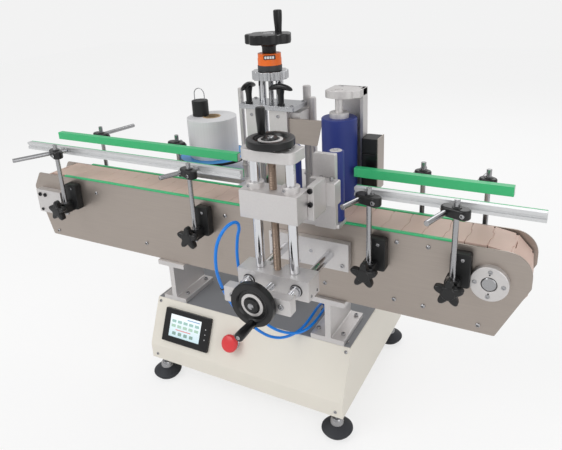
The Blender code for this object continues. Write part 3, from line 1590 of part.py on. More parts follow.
hose_route = [
    (-0.345, 0.0500, 0.2038), (-0.345, 0.0500, 0.2120), (-0.345, 0.0464, 0.2200), (-0.345, 0.0365, 0.2299),
    (-0.345, 0.0230, 0.2335), (-0.345, 0.0040, 0.2330), (-0.346, -0.0180, 0.2295), (-0.350, -0.0400, 0.2245),
    (-0.358, -0.0600, 0.2205), (-0.371, -0.0760, 0.2200), (-0.387, -0.0900, 0.2255),
    (-0.404, -0.1050, 0.2385),
    (-0.418, -0.1220, 0.2620), (-0.427, -0.1430, 0.3000), (-0.431, -0.1620, 0.3450),
    (-0.431, -0.1780, 0.3950),
    (-0.428, -0.1880, 0.4450), (-0.421, -0.1930, 0.4850), (-0.413, -0.1970, 0.5080),
    (-0.409, -0.2070, 0.5240),
    (-0.410, -0.2220, 0.5300), (-0.416, -0.2370, 0.5240), (-0.424, -0.2470, 0.5060),
    (-0.431, -0.2490, 0.4800),
    (-0.437, -0.2430, 0.4400), (-0.440, -0.2260, 0.3950), (-0.440, -0.2030, 0.3500),
    (-0.437, -0.1760, 0.3050),
    (-0.430, -0.1480, 0.2650), (-0.421, -0.1260, 0.2370), (-0.411, -0.1080, 0.2195),
    (-0.398, -0.0910, 0.2105),
    (-0.384, -0.0740, 0.2100), (-0.372, -0.0560, 0.2150), (-0.365, -0.0360, 0.2225),
    (-0.362, -0.0160, 0.2290),
    (-0.361, 0.0040, 0.2330), (-0.361, 0.0230, 0.2335), (-0.361, 0.0365, 0.2299), (-0.361, 0.0464, 0.2200),
    (-0.361, 0.0500, 0.2120), (-0.361, 0.0500, 0.2038),
]


def smooth_route(route, count):
    """Evenly spaced points of a Catmull-Rom curve through the route."""
    knots = [Vector(point) for point in route]
    knots = [2 * knots[0] - knots[1], *knots, 2 * knots[-1] - knots[-2]]
    fine = []
    for i in range(1, len(knots) - 2):
        a, b, c, d = knots[i - 1:i + 3]
        for step in range(route_steps):
            t = step / route_steps
            fine.append(((2 * b) + (c - a) * t + (2 * a - 5 * b + 4 * c - d) * t * t
                         + (3 * b - a - 3 * c + d) * t * t * t) / 2)
    fine.append(knots[-2])
    lengths = [0.0]
    for first, second in zip(fine, fine[1:]):
        lengths.append(lengths[-1] + (second - first).length)
    points, j = [], 0
    for i in range(count):
        target = lengths[-1] * i / (count - 1)
        while j < len(lengths) - 2 and lengths[j + 1] < target:
            j += 1
        share = (target - lengths[j]) / max(lengths[j + 1] - lengths[j], seat_gap / count)
        points.append(fine[j].lerp(fine[j + 1], min(share, 1.0)))
    return points


tube("air_hose", smooth_route(hose_route, hose_points), hose_radius, "hose_blue", root)


# Centre the machine over the origin

def centre_machine():
    bpy.context.view_layer.update()
    graph = bpy.context.evaluated_depsgraph_get()
    low = Vector((math.inf,) * 3)
    high = Vector((-math.inf,) * 3)
    for thing in machine.objects:
        if thing.type != "MESH":
            continue
        shape = thing.evaluated_get(graph)
        for vertex in shape.data.vertices:
            spot = shape.matrix_world @ vertex.co
            low = Vector(map(min, low, spot))
            high = Vector(map(max, high, spot))
    middle = (low + high) / 2
    root.location = (-middle.x, -middle.y, -low.z)
    bpy.context.view_layer.update()


centre_machine()
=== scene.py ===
# %% [markdown]
# # Bottle labelling machine
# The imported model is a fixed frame: every node has its true place and size in metres.
# This lesson dresses that frame. Each step says what a piece is on the real machine,
# makes it as a surface worked out with numpy, and lets it ride on the body that carries it.

# %% Load the frame
import json
import math

import bmesh
import bpy
import numpy as np
from mathutils import Matrix, Vector


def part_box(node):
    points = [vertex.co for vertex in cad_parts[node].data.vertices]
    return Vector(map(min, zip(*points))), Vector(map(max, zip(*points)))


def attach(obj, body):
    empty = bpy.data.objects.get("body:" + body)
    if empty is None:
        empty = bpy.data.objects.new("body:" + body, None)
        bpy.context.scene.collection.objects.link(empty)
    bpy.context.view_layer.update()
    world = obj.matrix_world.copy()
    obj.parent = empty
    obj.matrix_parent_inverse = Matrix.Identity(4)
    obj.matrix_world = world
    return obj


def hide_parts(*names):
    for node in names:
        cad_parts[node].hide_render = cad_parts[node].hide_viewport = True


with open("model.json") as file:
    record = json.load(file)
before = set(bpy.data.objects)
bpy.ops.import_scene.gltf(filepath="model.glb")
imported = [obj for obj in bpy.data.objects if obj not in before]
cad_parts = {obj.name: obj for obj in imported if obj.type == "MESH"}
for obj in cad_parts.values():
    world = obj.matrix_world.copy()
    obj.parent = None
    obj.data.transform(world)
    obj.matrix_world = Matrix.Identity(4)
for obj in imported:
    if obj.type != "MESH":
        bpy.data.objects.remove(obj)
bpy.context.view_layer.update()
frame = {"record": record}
record = frame["record"]
body_of = {node: body for body, nodes in record["behaviour"]["bodies"].items() for node in nodes}

# %% [markdown]
# The machine is set out from two lines that a fitter would use: the drive shaft's axis
# and the middle of the chain. `spot` turns a place measured from them into the frame.

# %% Set out from the drive shaft and the chain
def ends(node):
    """Lowest and highest corner of a node, as two arrays."""
    low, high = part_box(node)
    return np.array(low), np.array(high)


def middle(node):
    low, high = ends(node)
    return (low + high) / 2


HOME = np.array([middle("drive_shaft")[0], middle("slat_chain")[1], 0.0])
SHAFT_Z = middle("drive_shaft")[2]
IDLER = middle("idler_shaft")[0] - HOME[0]
BELT_TOP = ends("slat_chain")[1][2]


def spot(x, y, z):
    return HOME + np.array([x, y, z])


print("shaft height", round(SHAFT_Z, 4), "chain top", round(BELT_TOP, 4), "shaft centres", round(-IDLER, 4))

# %% [markdown]
# The camera stands in front of the drive end, a little above the crank wheel, turned toward
# the label head and tipped down, as in the photograph. Its place and turn were found by
# fitting points picked on the conveyor, the cabinet, the supports and the posts.

# %% Camera at the photograph's place
EYE = spot(0.1039, -0.9662, 0.9362)
YAW, PITCH, ROLL = math.radians(28.56), math.radians(-20.09), math.radians(-2.725)
IMAGE_WIDTH, IMAGE_HEIGHT = 562, 450
FOCAL_PIXELS = 565.77
CENTRE_X, CENTRE_Y = 284.85, 178.8
SENSOR = 36.0


def camera_turn():
    """Forward from yaw and pitch, then right and up rolled about it; columns right, up, back."""
    forward = Vector((-math.sin(YAW) * math.cos(PITCH), math.cos(YAW) * math.cos(PITCH), math.sin(PITCH)))
    level = Vector((math.cos(YAW), math.sin(YAW), 0.0))
    upright = level.cross(forward)
    right = level * math.cos(ROLL) + upright * math.sin(ROLL)
    up = upright * math.cos(ROLL) - level * math.sin(ROLL)
    return Matrix((right, up, -forward)).transposed()


camera = bpy.data.objects.new("photo_camera", bpy.data.cameras.new("photo_camera"))
bpy.context.scene.collection.objects.link(camera)
camera.matrix_world = Matrix.Translation(Vector(EYE)) @ camera_turn().to_4x4()
camera.data.sensor_width = SENSOR
camera.data.lens = SENSOR * FOCAL_PIXELS / IMAGE_WIDTH
camera.data.shift_x = (IMAGE_WIDTH / 2 - CENTRE_X) / IMAGE_WIDTH
camera.data.shift_y = (CENTRE_Y - IMAGE_HEIGHT / 2) / IMAGE_WIDTH
camera.data.clip_start = 0.01
bpy.context.scene.camera = camera
print("lens", round(camera.data.lens, 2))

# %% [markdown]
# A finish is a small node tree. Writing it node by node hides the idea, so one class wraps
# a socket and lets Python's operators add the Math nodes, and one method adds any other node.

# %% Shader maths
def put(socket, value):
    if isinstance(value, Value):
        value.look.tree.links.new(value.socket, socket)
    elif hasattr(socket.default_value, "__len__") and len(socket.default_value) == 4:
        socket.default_value = (*value[:3], 1.0)
    else:
        socket.default_value = value


class Value:
    """A socket of a look's node tree that takes part in arithmetic."""

    def __init__(self, look, socket):
        self.look, self.socket = look, socket

    def maths(self, operation, other=0.0, swapped=False):
        pair = [other, self] if swapped else [self, other]
        return self.look.node("ShaderNodeMath", dict(enumerate(pair)), operation=operation)

    def __add__(self, other):
        return self.maths("ADD", other)

    def __radd__(self, other):
        return self.maths("ADD", other, True)

    def __sub__(self, other):
        return self.maths("SUBTRACT", other)

    def __rsub__(self, other):
        return self.maths("SUBTRACT", other, True)

    def __mul__(self, other):
        return self.maths("MULTIPLY", other)

    def __rmul__(self, other):
        return self.maths("MULTIPLY", other, True)

    def __truediv__(self, other):
        return self.maths("DIVIDE", other)

    def __pow__(self, other):
        return self.maths("POWER", other)


def tint(red, green, blue):
    """A screen colour of 0 to 255 as the linear colour that a shader takes."""
    share = np.array([red, green, blue]) / 255.0
    return tuple(np.where(share <= 0.04045, share / 12.92, ((share + 0.055) / 1.055) ** 2.4))


EVEN = (1.0, 1.0, 1.0)


class Look:
    """A material: one Principled shader fed by what the node method adds."""

    def __init__(self, name, roughness=0.5, metallic=0.0):
        self.material = bpy.data.materials.new(name)
        self.material.use_nodes = True
        self.tree = self.material.node_tree
        self.shader = self.tree.nodes["Principled BSDF"]
        self.shader.inputs["Roughness"].default_value = roughness
        self.shader.inputs["Metallic"].default_value = metallic

    def node(self, kind, inputs=None, output=0, stops=None, **settings):
        made = self.tree.nodes.new(kind)
        for key, value in settings.items():
            setattr(made, key, value)
        if stops:
            ramp = made.color_ramp.elements
            while len(ramp) < len(stops):
                ramp.new(0.5)
            for step, (place, colour) in zip(ramp, stops):
                step.position, step.color = place, (*colour, 1.0)
        for key, value in (inputs or {}).items():
            put(made.inputs[key], value)
        return Value(self, made.outputs[output])

    def noise(self, scale, stretch=EVEN, detail=2.0):
        """Noise on Object coordinates, drawn out along an axis by a smaller stretch there."""
        place = self.node("ShaderNodeTexCoord", output="Object")
        place = self.node("ShaderNodeMapping", {"Vector": place, "Scale": stretch})
        return self.node("ShaderNodeTexNoise", {"Vector": place, "Scale": scale, "Detail": detail})

    def part(self, axis):
        """One Object coordinate, in metres: 0 for x, 1 for y, 2 for z."""
        place = self.node("ShaderNodeTexCoord", output="Object")
        return self.node("ShaderNodeSeparateXYZ", {0: place}, output=axis)

    def mix(self, share, first, second):
        return self.node("ShaderNodeMix", {0: share, 6: first, 7: second}, output=2, data_type="RGBA")

    def set(self, colour=None, rough=None, bump=None, height=0.0002, strength=0.3):
        if colour is not None:
            put(self.shader.inputs["Base Color"], colour)
        if rough is not None:
            put(self.shader.inputs["Roughness"], rough)
        if bump is not None:
            normal = self.node("ShaderNodeBump", {"Height": bump, "Strength": strength, "Distance": height})
            put(self.shader.inputs["Normal"], normal)
        return self


print("shader maths ready")

# %% [markdown]
# Sheet steel on this machine is brushed along the conveyor, so its grain is noise drawn out
# along X. Milled aluminium has a finer, nearly even grain. Polished rods have almost none.

# %% Metals
def metal(name, colour, roughness, grain, stretch, spread=0.06, scale=60.0, shine=1.0):
    """Base colour and roughness vary with drawn-out noise, and its fine part lifts the surface."""
    look = Look(name, roughness, shine)
    lines = look.noise(scale, stretch, 3.0)
    clouds = look.noise(7.0, EVEN, 2.0)
    dark = tuple(c * (1 - spread * 2) for c in tint(*colour))
    light = tuple(min(1.0, c * (1 + spread)) for c in tint(*colour))
    look.set(look.mix(lines * 0.6 + clouds * 0.4, dark, light),
             roughness - spread + (lines + clouds) * spread, lines, 0.0001, grain)
    return look


stainless = metal("brushed_stainless", (176, 166, 158), 0.36, 0.1, (0.25, 9.0, 9.0), 0.08, shine=0.85)
milled = metal("milled_aluminium", (218, 215, 214), 0.48, 0.08, EVEN, 0.06, 240.0, shine=0.72)
extruded = metal("drawn_aluminium", (222, 223, 224), 0.42, 0.08, (0.1, 6.0, 6.0), 0.05, 120.0, shine=0.7)
chrome = metal("polished_rod", (222, 223, 226), 0.1, 0.02, EVEN, 0.03, 300.0)
steel = metal("ground_steel", (172, 172, 174), 0.24, 0.05, EVEN, 0.06, 300.0)
dark_steel = metal("blackened_steel", (58, 58, 60), 0.38, 0.05, EVEN, 0.08, 300.0)
bronze = metal("bronze_screw", (158, 140, 126), 0.42, 0.05, EVEN, 0.1, 200.0)
polished = metal("polished_aluminium", (190, 191, 194), 0.28, 0.06, EVEN, 0.05, 240.0)
turned_steel = metal("turned_steel", (206, 207, 210), 0.2, 0.03, EVEN, 0.05, 300.0)
print("metals", 9)

# %% [markdown]
# Powder paint has the fine ripple called orange peel, and a cast or moulded black part has a
# grained skin. Both are noise in the bump. Wear shows as slow changes of tone.

# %% Paints and plastics
def coat(name, colour, roughness, grain_scale, grain, spread=0.05, scale=9.0):
    """Colour drifts with slow noise and the bump holds the fine grain."""
    look = Look(name, roughness)
    slow = look.noise(scale, EVEN, 3.0)
    fine = look.noise(grain_scale, EVEN, 2.0)
    base = tint(*colour)
    look.set(look.mix(slow, tuple(c * (1 - spread) for c in base),
                      tuple(min(1.0, c * (1 + spread)) for c in base)), roughness - 0.05 + slow * 0.1, fine,
             0.0002, grain)
    return look


cream = coat("cream_powder_paint", (232, 227, 216), 0.42, 900.0, 0.12, 0.03)
deck_grey = coat("grey_deck_paint", (134, 136, 140), 0.45, 700.0, 0.15)
motor_grey = coat("motor_paint", (70, 72, 76), 0.4, 600.0, 0.12)
black = coat("grained_black_plastic", (18, 19, 20), 0.48, 1400.0, 0.25, 0.1)
gloss_black = coat("smooth_black_plastic", (11, 11, 13), 0.3, 500.0, 0.03, 0.05)
rubber = coat("foot_rubber", (44, 46, 52), 0.6, 900.0, 0.3, 0.15)
resin = coat("chain_resin", (214, 186, 173), 0.5, 500.0, 0.1, 0.06, 22.0)
# A darker copy of the chain resin for the hinge barrels: painted shade, since they sit under the slats.
painted_shade_resin = coat("chain_resin_painted_shade", (150, 124, 112), 0.6, 500.0, 0.12, 0.1, 22.0)
green = coat("green_slide_plastic", (62, 190, 124), 0.36, 300.0, 0.04, 0.07, 14.0)
roller_skin = coat("blue_roller_rubber", (36, 52, 126), 0.5, 1200.0, 0.2, 0.1, 18.0)
orange = coat("orange_plastic", (243, 112, 28), 0.34, 600.0, 0.04)
red = coat("red_button_plastic", (226, 62, 66), 0.3, 600.0, 0.04)
tray_plastic = coat("blue_tray_plastic", (64, 154, 224), 0.34, 400.0, 0.05)
white_plastic = coat("white_plastic", (228, 228, 230), 0.4, 400.0, 0.05)
hose_plastic = coat("blue_hose_plastic", (0, 128, 228), 0.32, 300.0, 0.02)
print("paints and plastics", 15)

# %% [markdown]
# Three helpers make nearly every piece: a skin over rings of points, a slab with rounded rims
# on a flat outline, and a turned form. Rings are rows of a grid, so whole arrays make each one.

# %% Surfaces from rings
class Shape:
    """Points and faces of one or more closed surfaces."""

    def __init__(self, points, faces):
        self.points, self.faces = np.asarray(points, float).reshape(-1, 3), faces

    def __add__(self, other):
        shift = len(self.points)
        moved = [tuple(i + shift for i in face) for face in other.faces]
        return Shape(np.vstack([self.points, other.points]), self.faces + moved)

    def moved(self, matrix):
        matrix = np.array(matrix)
        return Shape(self.points @ matrix[:3, :3].T + matrix[:3, 3], self.faces)


def skin(rings, ring_closed=False):
    """A grid of rings: each quad joins ring i to i + 1 and point j to j + 1, and flat caps end it."""
    rings = np.asarray(rings, float)
    count, around = rings.shape[:2]
    rows = np.arange(count if ring_closed else count - 1)[:, None]
    cols = np.arange(around)[None, :]
    nxt, turn = (rows + 1) % count, (cols + 1) % around
    quads = np.stack(np.broadcast_arrays(rows * around + cols, rows * around + turn, nxt * around + turn,
                                         nxt * around + cols), -1).reshape(-1, 4)
    faces = [tuple(quad) for quad in quads.tolist()]
    if not ring_closed:
        faces.append(tuple(range(around - 1, -1, -1)))
        faces.append(tuple(range((count - 1) * around, count * around)))
    return Shape(rings, faces)


def rounded(outline, radius, steps=4):
    """Corner C becomes the curve (1-t)^2 A + 2t(1-t) C + t^2 B; A and B lie `radius` either side."""
    corner = np.asarray(outline, float)
    before, after = np.roll(corner, 1, 0) - corner, np.roll(corner, -1, 0) - corner
    radius = np.broadcast_to(radius, len(corner))[:, None]
    reach = [np.minimum(radius, 0.48 * np.linalg.norm(side, axis=1, keepdims=True))
             for side in (before, after)]
    near = [corner + side / np.linalg.norm(side, axis=1, keepdims=True) * far
            for side, far in zip((before, after), reach)]
    t = np.linspace(0.0, 1.0, steps + 1)[None, :, None]
    curve = (1 - t) ** 2 * near[0][:, None] + 2 * t * (1 - t) * corner[:, None] + t ** 2 * near[1][:, None]
    return curve.reshape(-1, 2)


def inset(outline, depth):
    """Each point moves in by its two edges' inward normals, over one plus their dot product."""
    edge = np.roll(outline, -1, 0) - outline
    edge /= np.maximum(np.linalg.norm(edge, axis=1, keepdims=True), 1e-9)
    inward = np.stack([-edge[:, 1], edge[:, 0]], 1)
    last = np.roll(inward, 1, 0)
    share = 1 + np.sum(inward * last, axis=1, keepdims=True)
    return outline + depth * (inward + last) / np.maximum(share, 0.4)


def tidy_outline(outline):
    """Drops repeated points and runs the outline anticlockwise."""
    outline = np.asarray(outline, float)
    outline = outline[np.linalg.norm(np.roll(outline, -1, 0) - outline, axis=1) > 1e-6]
    x, y = outline.T
    area = np.sum(x * np.roll(y, -1) - np.roll(x, -1) * y)
    return outline if area > 0 else outline[::-1]


def slab(outline, low, high, axis="z", edge=0.0008, steps=2):
    """An outline from low to high; near each rim it draws in by edge(1 - sin a) as it rises edge(1 - cos a).

    The edge shrinks until no side of the drawn-in outline turns back on itself.
    """
    outline = tidy_outline(outline)
    edge = min(edge, (high - low) * 0.45)
    side = np.roll(outline, -1, 0) - outline
    while np.any(np.sum((np.roll(inset(outline, edge), -1, 0) - inset(outline, edge)) * side, axis=1) < 0):
        edge *= 0.8
    angle = np.linspace(0.0, math.pi / 2, steps + 1)
    levels = [(edge * (1 - math.sin(a)), low + edge * (1 - math.cos(a))) for a in angle]
    levels += [(edge * (1 - math.sin(a)), high - edge * (1 - math.cos(a))) for a in angle[::-1]]
    rings = []
    for depth, level in levels:
        ring = inset(outline, depth)
        rings.append(np.column_stack([ring, np.full(len(ring), level)]))
    made = skin(rings)
    if axis == "y":
        made.points = made.points[:, [0, 2, 1]]
        made.faces = [face[::-1] for face in made.faces]
    if axis == "x":
        made.points = made.points[:, [2, 0, 1]]
    return made


def rectangle(low, high):
    return [(low[0], low[1]), (high[0], low[1]), (high[0], high[1]), (low[0], high[1])]


def block(low, high, edge=0.0008, corner=0.0, axis="z"):
    """A box between two corners, with rounded edges and, in its outline, rounded corners."""
    low, high = np.minimum(low, high), np.maximum(low, high)
    across = {"z": (0, 1), "y": (0, 2), "x": (1, 2)}[axis]
    level = {"z": 2, "y": 1, "x": 0}[axis]
    outline = rectangle([low[i] for i in across], [high[i] for i in across])
    outline = rounded(outline, max(corner, edge * 1.6), 4 if corner > edge * 2 else 2)
    return slab(outline, low[level], high[level], axis, edge)


def aim(at, axis):
    """The move that lays local Z along an axis, with its foot at a place."""
    turn = Vector((0, 0, 1)).rotation_difference(Vector(axis))
    return Matrix.Translation(Vector(at)) @ turn.to_matrix().to_4x4()


AXES = {"x": (1, 0, 0), "y": (0, 1, 0), "z": (0, 0, 1), "-x": (-1, 0, 0), "-y": (0, -1, 0), "-z": (0, 0, -1)}


def turned(profile, at, axis="z", steps=48, hollow=False, spread=None):
    """Point (radius, height) at angle a goes to (radius cos a, radius sin a, height)."""
    radius, height = np.asarray(profile, float).T
    angle = np.linspace(0.0, 2 * math.pi, steps, endpoint=False)
    reach = radius[:, None] * np.ones(steps)
    if spread is not None:
        reach = spread(radius[:, None], height[:, None], angle)
    rings = np.stack([reach * np.cos(angle), reach * np.sin(angle),
                      np.broadcast_to(height[:, None], reach.shape)], -1)
    return skin(rings, hollow).moved(aim(at, AXES.get(axis, axis) if isinstance(axis, str) else axis))


def rod(at, axis, radius, length, edge=0.0006, steps=32):
    """A round bar with a small chamfer at both ends."""
    profile = [(0, 0), (radius - edge, 0), (radius, edge), (radius, length - edge), (radius - edge, length),
               (0, length)]
    return turned(profile, at, axis, steps)


print("ring helpers ready")

# %% [markdown]
# Fasteners make a machine look built. A socket screw is a turned form whose inner rings
# follow a hexagon, so one grid gives the head and its drive hole. A thread is a turned form
# whose radius falls and rises as the height, less the turn, passes each pitch.

# %% Fasteners and threads
def socket_screw(at, axis, radius=0.0045, tall=0.004, dome=0.0):
    """Outer rings are round; the ring of the drive is hexagonal, radius c / cos(angle within a sixth)."""
    drive = radius * 0.55
    profile = [(0, 0), (radius, 0), (radius, tall * 0.8), (radius * 0.9, tall),
               (drive + dome * 0.4, tall + dome), (-drive, tall + dome), (-drive, tall * 0.35),
               (0, tall * 0.3)]

    def spread(radius, height, angle):
        sixth = np.mod(angle, math.pi / 3) - math.pi / 6
        hexagon = np.abs(radius) * 0.9 / np.cos(sixth)
        return np.where(radius < 0, hexagon, radius * np.ones_like(angle))

    return turned(profile, at, axis, 24, spread=spread)


def nut(at, axis, across, tall):
    """A hexagon a spanner fits, its corners at across / cos 30."""
    angle = np.arange(6) * math.pi / 3
    outline = np.column_stack([np.cos(angle), np.sin(angle)]) * across / 2 / math.cos(math.pi / 6)
    return slab(outline, 0.0, tall, "z", tall * 0.12).moved(aim(at, AXES.get(axis, axis)))


def threaded(at, axis, radius, length, pitch, depth, steps=24, rows=6):
    """Radius falls by depth times how far height / pitch - angle / 2 pi lies from a whole number."""
    height = np.concatenate([[0.0], np.linspace(0.0, length, int(length / pitch * rows)), [length]])

    def spread(radius, height, angle):
        turns = height / pitch - angle / (2 * math.pi)
        groove = np.clip(np.abs(turns - np.round(turns)) * 4 - 0.5, 0.0, 1.0)
        return np.where(radius > 0, radius - depth * groove, 0.0)

    core = np.where((np.arange(len(height)) == 0) | (np.arange(len(height)) == len(height) - 1), 0.0, radius)
    return turned(np.column_stack([core, height]), at, axis, steps, spread=spread)


def carved(shape, *cutters):
    """The shape less each cutter, by Blender's exact boolean."""
    things = []
    for part in (shape, *cutters):
        mesh = bpy.data.meshes.new("carving")
        mesh.from_pydata(part.points.tolist(), [], part.faces)
        things.append(bpy.data.objects.new("carving", mesh))
        bpy.context.scene.collection.objects.link(things[-1])
    for tool in things[1:]:
        cut = things[0].modifiers.new("cut", "BOOLEAN")
        cut.operation, cut.solver, cut.object = "DIFFERENCE", "EXACT", tool
    bpy.context.view_layer.update()
    made = things[0].evaluated_get(bpy.context.evaluated_depsgraph_get()).to_mesh()
    result = Shape([v.co[:] for v in made.vertices], [tuple(face.vertices) for face in made.polygons])
    for thing in things:
        bpy.data.objects.remove(thing)
    return result


# A small piece is set this far off its face, so that no two faces lie on one plane.
OFFSET = 0.0002
# Pieces of one body run this far into each other.
BITE = 0.001


def at_height(centre, height):
    """A place seen from above, at another height."""
    return centre[0], centre[1], height


def gather(shapes):
    total = shapes[0]
    for shape in shapes[1:]:
        total = total + shape
    return total


def fit(name, shape, look, node, stands_for=True, crease=32):
    """Put a shape into the scene as a piece that rides where a node rides."""
    if isinstance(shape, list):
        shape = gather(shape)
    mesh = bpy.data.meshes.new(name)
    mesh.from_pydata(shape.points.tolist(), [], shape.faces)
    piece = bpy.data.objects.new(name, mesh)
    bpy.context.scene.collection.objects.link(piece)
    weld = bmesh.new()
    weld.from_mesh(mesh)
    bmesh.ops.remove_doubles(weld, verts=weld.verts, dist=1e-6)
    weld.to_mesh(mesh)
    weld.free()
    mesh.shade_smooth()
    mesh.set_sharp_from_angle(angle=math.radians(crease))
    mesh.materials.append(look.material)
    normals = piece.modifiers.new("even_shading", "WEIGHTED_NORMAL")
    normals.keep_sharp = True
    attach(piece, body_of[node])
    if stands_for:
        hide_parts(node)
    return piece


def trim(name, shape, look, node):
    """Put in a smaller piece that rides with a node and leaves the node's own piece to stand for it."""
    return fit(name, shape, look, node, False)


print("fasteners ready")

# %% [markdown]
# The air hose is the one cord. It leaves the deck by a grommet, climbs to the press, loops
# over and comes back to the deck, so both its ends go into the machine. The route's points
# are the ones the model uses, and a smooth curve runs through them.

# %% Air hose
HOSE_ROUTE = [
    (-0.345, 0.05, 0.2038), (-0.345, 0.05, 0.212), (-0.345, 0.0464, 0.22), (-0.345, 0.0365, 0.2299),
    (-0.345, 0.023, 0.2335), (-0.345, 0.004, 0.233), (-0.346, -0.018, 0.2295), (-0.35, -0.04, 0.2245),
    (-0.358, -0.06, 0.2205), (-0.371, -0.076, 0.22), (-0.387, -0.09, 0.2255), (-0.404, -0.105, 0.2385),
    (-0.418, -0.122, 0.262), (-0.427, -0.143, 0.3), (-0.431, -0.162, 0.345), (-0.431, -0.178, 0.395),
    (-0.428, -0.188, 0.445), (-0.421, -0.193, 0.485), (-0.413, -0.197, 0.508), (-0.409, -0.207, 0.524),
    (-0.41, -0.222, 0.53), (-0.416, -0.237, 0.524), (-0.424, -0.247, 0.506), (-0.431, -0.249, 0.48),
    (-0.437, -0.243, 0.44), (-0.44, -0.226, 0.395), (-0.44, -0.203, 0.35), (-0.437, -0.176, 0.305),
    (-0.43, -0.148, 0.265), (-0.421, -0.126, 0.237), (-0.411, -0.108, 0.2195), (-0.398, -0.091, 0.2105),
    (-0.384, -0.074, 0.21), (-0.372, -0.056, 0.215), (-0.365, -0.036, 0.2225), (-0.362, -0.016, 0.229),
    (-0.361, 0.004, 0.233), (-0.361, 0.023, 0.2335), (-0.361, 0.0365, 0.2299), (-0.361, 0.0464, 0.22),
    (-0.361, 0.05, 0.212), (-0.361, 0.05, 0.2038),
]
HOSE_DIAMETER = 0.006
CURVE_STEPS = 6


def through(route, steps=CURVE_STEPS):
    """Catmull-Rom: between knots B and C the curve leans on A and D too, as cubic weights of t."""
    knots = np.asarray(route, float)
    knots = np.vstack([2 * knots[0] - knots[1], knots, 2 * knots[-1] - knots[-2]])
    a, b, c, d = (knots[i:len(knots) - 3 + i, None] for i in range(4))
    t = np.linspace(0.0, 1.0, steps, endpoint=False)[None, :, None]
    square, cube = 2 * a - 5 * b + 4 * c - d, 3 * b - a - 3 * c + d
    curve = (2 * b + (c - a) * t + square * t ** 2 + cube * t ** 3) / 2
    return np.vstack([curve.reshape(-1, 3), knots[-2]])


def hose_piece(name, points, diameter, look):
    curve = bpy.data.curves.new(name, "CURVE")
    curve.dimensions = "3D"
    curve.bevel_depth = diameter / 2
    curve.bevel_resolution = 4
    curve.use_fill_caps = True
    spline = curve.splines.new("POLY")
    spline.points.add(len(points) - 1)
    spline.points.foreach_set("co", np.column_stack([points, np.ones(len(points))]).ravel())
    spline.use_smooth = True
    piece = bpy.data.objects.new(name, curve)
    bpy.context.scene.collection.objects.link(piece)
    curve.materials.append(look.material)
    return piece


hose_points = through(HOSE_ROUTE) + HOME
hose = hose_piece("blue_air_hose", hose_points, HOSE_DIAMETER, hose_plastic)
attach(hose, "machine")
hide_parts("air_hose")

# %% [markdown]
# A hole in painted steel would cut the hose, so a black plastic ring lines each one. Thin black
# bands sit round the hose on both runs. All of them are turned forms set on the hose's path.

# %% Grommets and ties of the hose
def grommet(at):
    """A low ring that lines the deck's hole, its lip turned over the edge."""
    profile = [(0.0036, 0.0), (0.0075, 0.0), (0.0085, 0.0012), (0.007, 0.003), (0.0045, 0.0034),
               (0.0036, 0.0024)]
    return turned(profile, at, "z", 32, hollow=True)


deck_top = ends("cabinet_deck")[1][2]
trim("hose_grommets",
     [grommet((point[0], point[1], deck_top)) for point in (hose_points[0], hose_points[-1])],
     black, "cabinet_deck")


def tie(at, along, radius):
    """A cable tie: a thin band round the hose."""
    band = [(radius, -0.0014), (radius + 0.0012, -0.0014), (radius + 0.0012, 0.0014), (radius, 0.0014)]
    return turned(band, at, along, 20, hollow=True)


tie_points = [CURVE_STEPS * knot for knot in (12, 15, 25, 28)]
trim("hose_ties",
     [tie(hose_points[i], hose_points[i + 1] - hose_points[i - 1], HOSE_DIAMETER / 2) for i in tie_points],
     black, "air_hose")
print("grommets 2, ties", len(tie_points))

# %% [markdown]
# The side plates are laser-cut sheet. Their nose slopes under at the idler end, and the drive
# end is cut to a round. On them sit the flange bearing, the tension block, the brackets of
# the guide posts with their star knobs, and a row of screws that holds the tie bars.

# %% Side plates
PLATE_IN, PLATE_OUT = 0.046, 0.049
PLATE_LOW, PLATE_HIGH = 0.307, 0.478
SIDE_PLATES = {-1: "side_plate_front", 1: "side_plate_back"}


def outward(side):
    """The direction away from the chain: -1 is the front side, 1 the back."""
    return "y" if side > 0 else "-y"


def plate_outline():
    angle = np.linspace(0.0, math.pi / 2, 14)
    arc = np.column_stack([0.023 + 0.044 * np.cos(angle), 0.4355 + 0.0425 * np.sin(angle)])
    nose = [(IDLER - 0.044, PLATE_HIGH), (IDLER - 0.07, 0.4375), (IDLER - 0.031, PLATE_LOW),
            (0.015, PLATE_LOW)]
    nose = rounded([(0.067, 0.4155), *arc.tolist(), *nose], [0.002] * 15 + [0.004, 0.006, 0.004, 0.002], 3)
    return nose + HOME[[0, 2]]


PLATE_SCREWS = [(-0.921, 0.449), (-1.082, 0.32), (-0.78, 0.34), (-0.545, 0.45), (-0.167, 0.46),
                (-0.109, 0.461), (-0.17, 0.338), (-0.114, 0.337), (-0.014, 0.323), (-0.314, 0.34)]


def side_plate(side, node):
    low, high = sorted((side * PLATE_IN, side * PLATE_OUT))
    fit(node + "_sheet", slab(plate_outline(), HOME[1] + low, HOME[1] + high, "y", 0.0005), stainless, node)
    face = side * PLATE_OUT
    out = outward(side)
    trim(node + "_screws",
         [socket_screw(spot(x, face, z), out, 0.0042, 0.0022, 0.0008) for x, z in PLATE_SCREWS], steel, node)


for side, node in SIDE_PLATES.items():
    side_plate(side, node)
print("plate screws", 2 * len(PLATE_SCREWS))

# %% [markdown]
# A flange bearing is a turned housing: a wide foot, a raised ring and the inner ring that two
# grub screws lock to the shaft, with a black ring of painted shade in the gap round the shaft.
# The tension block is a milled bar with a jack screw.

# %% Bearings, tension blocks and shaft ends
BEARING = 0.033
BEARING_SCREWS, BEARING_FACE = 0.024, 0.0118


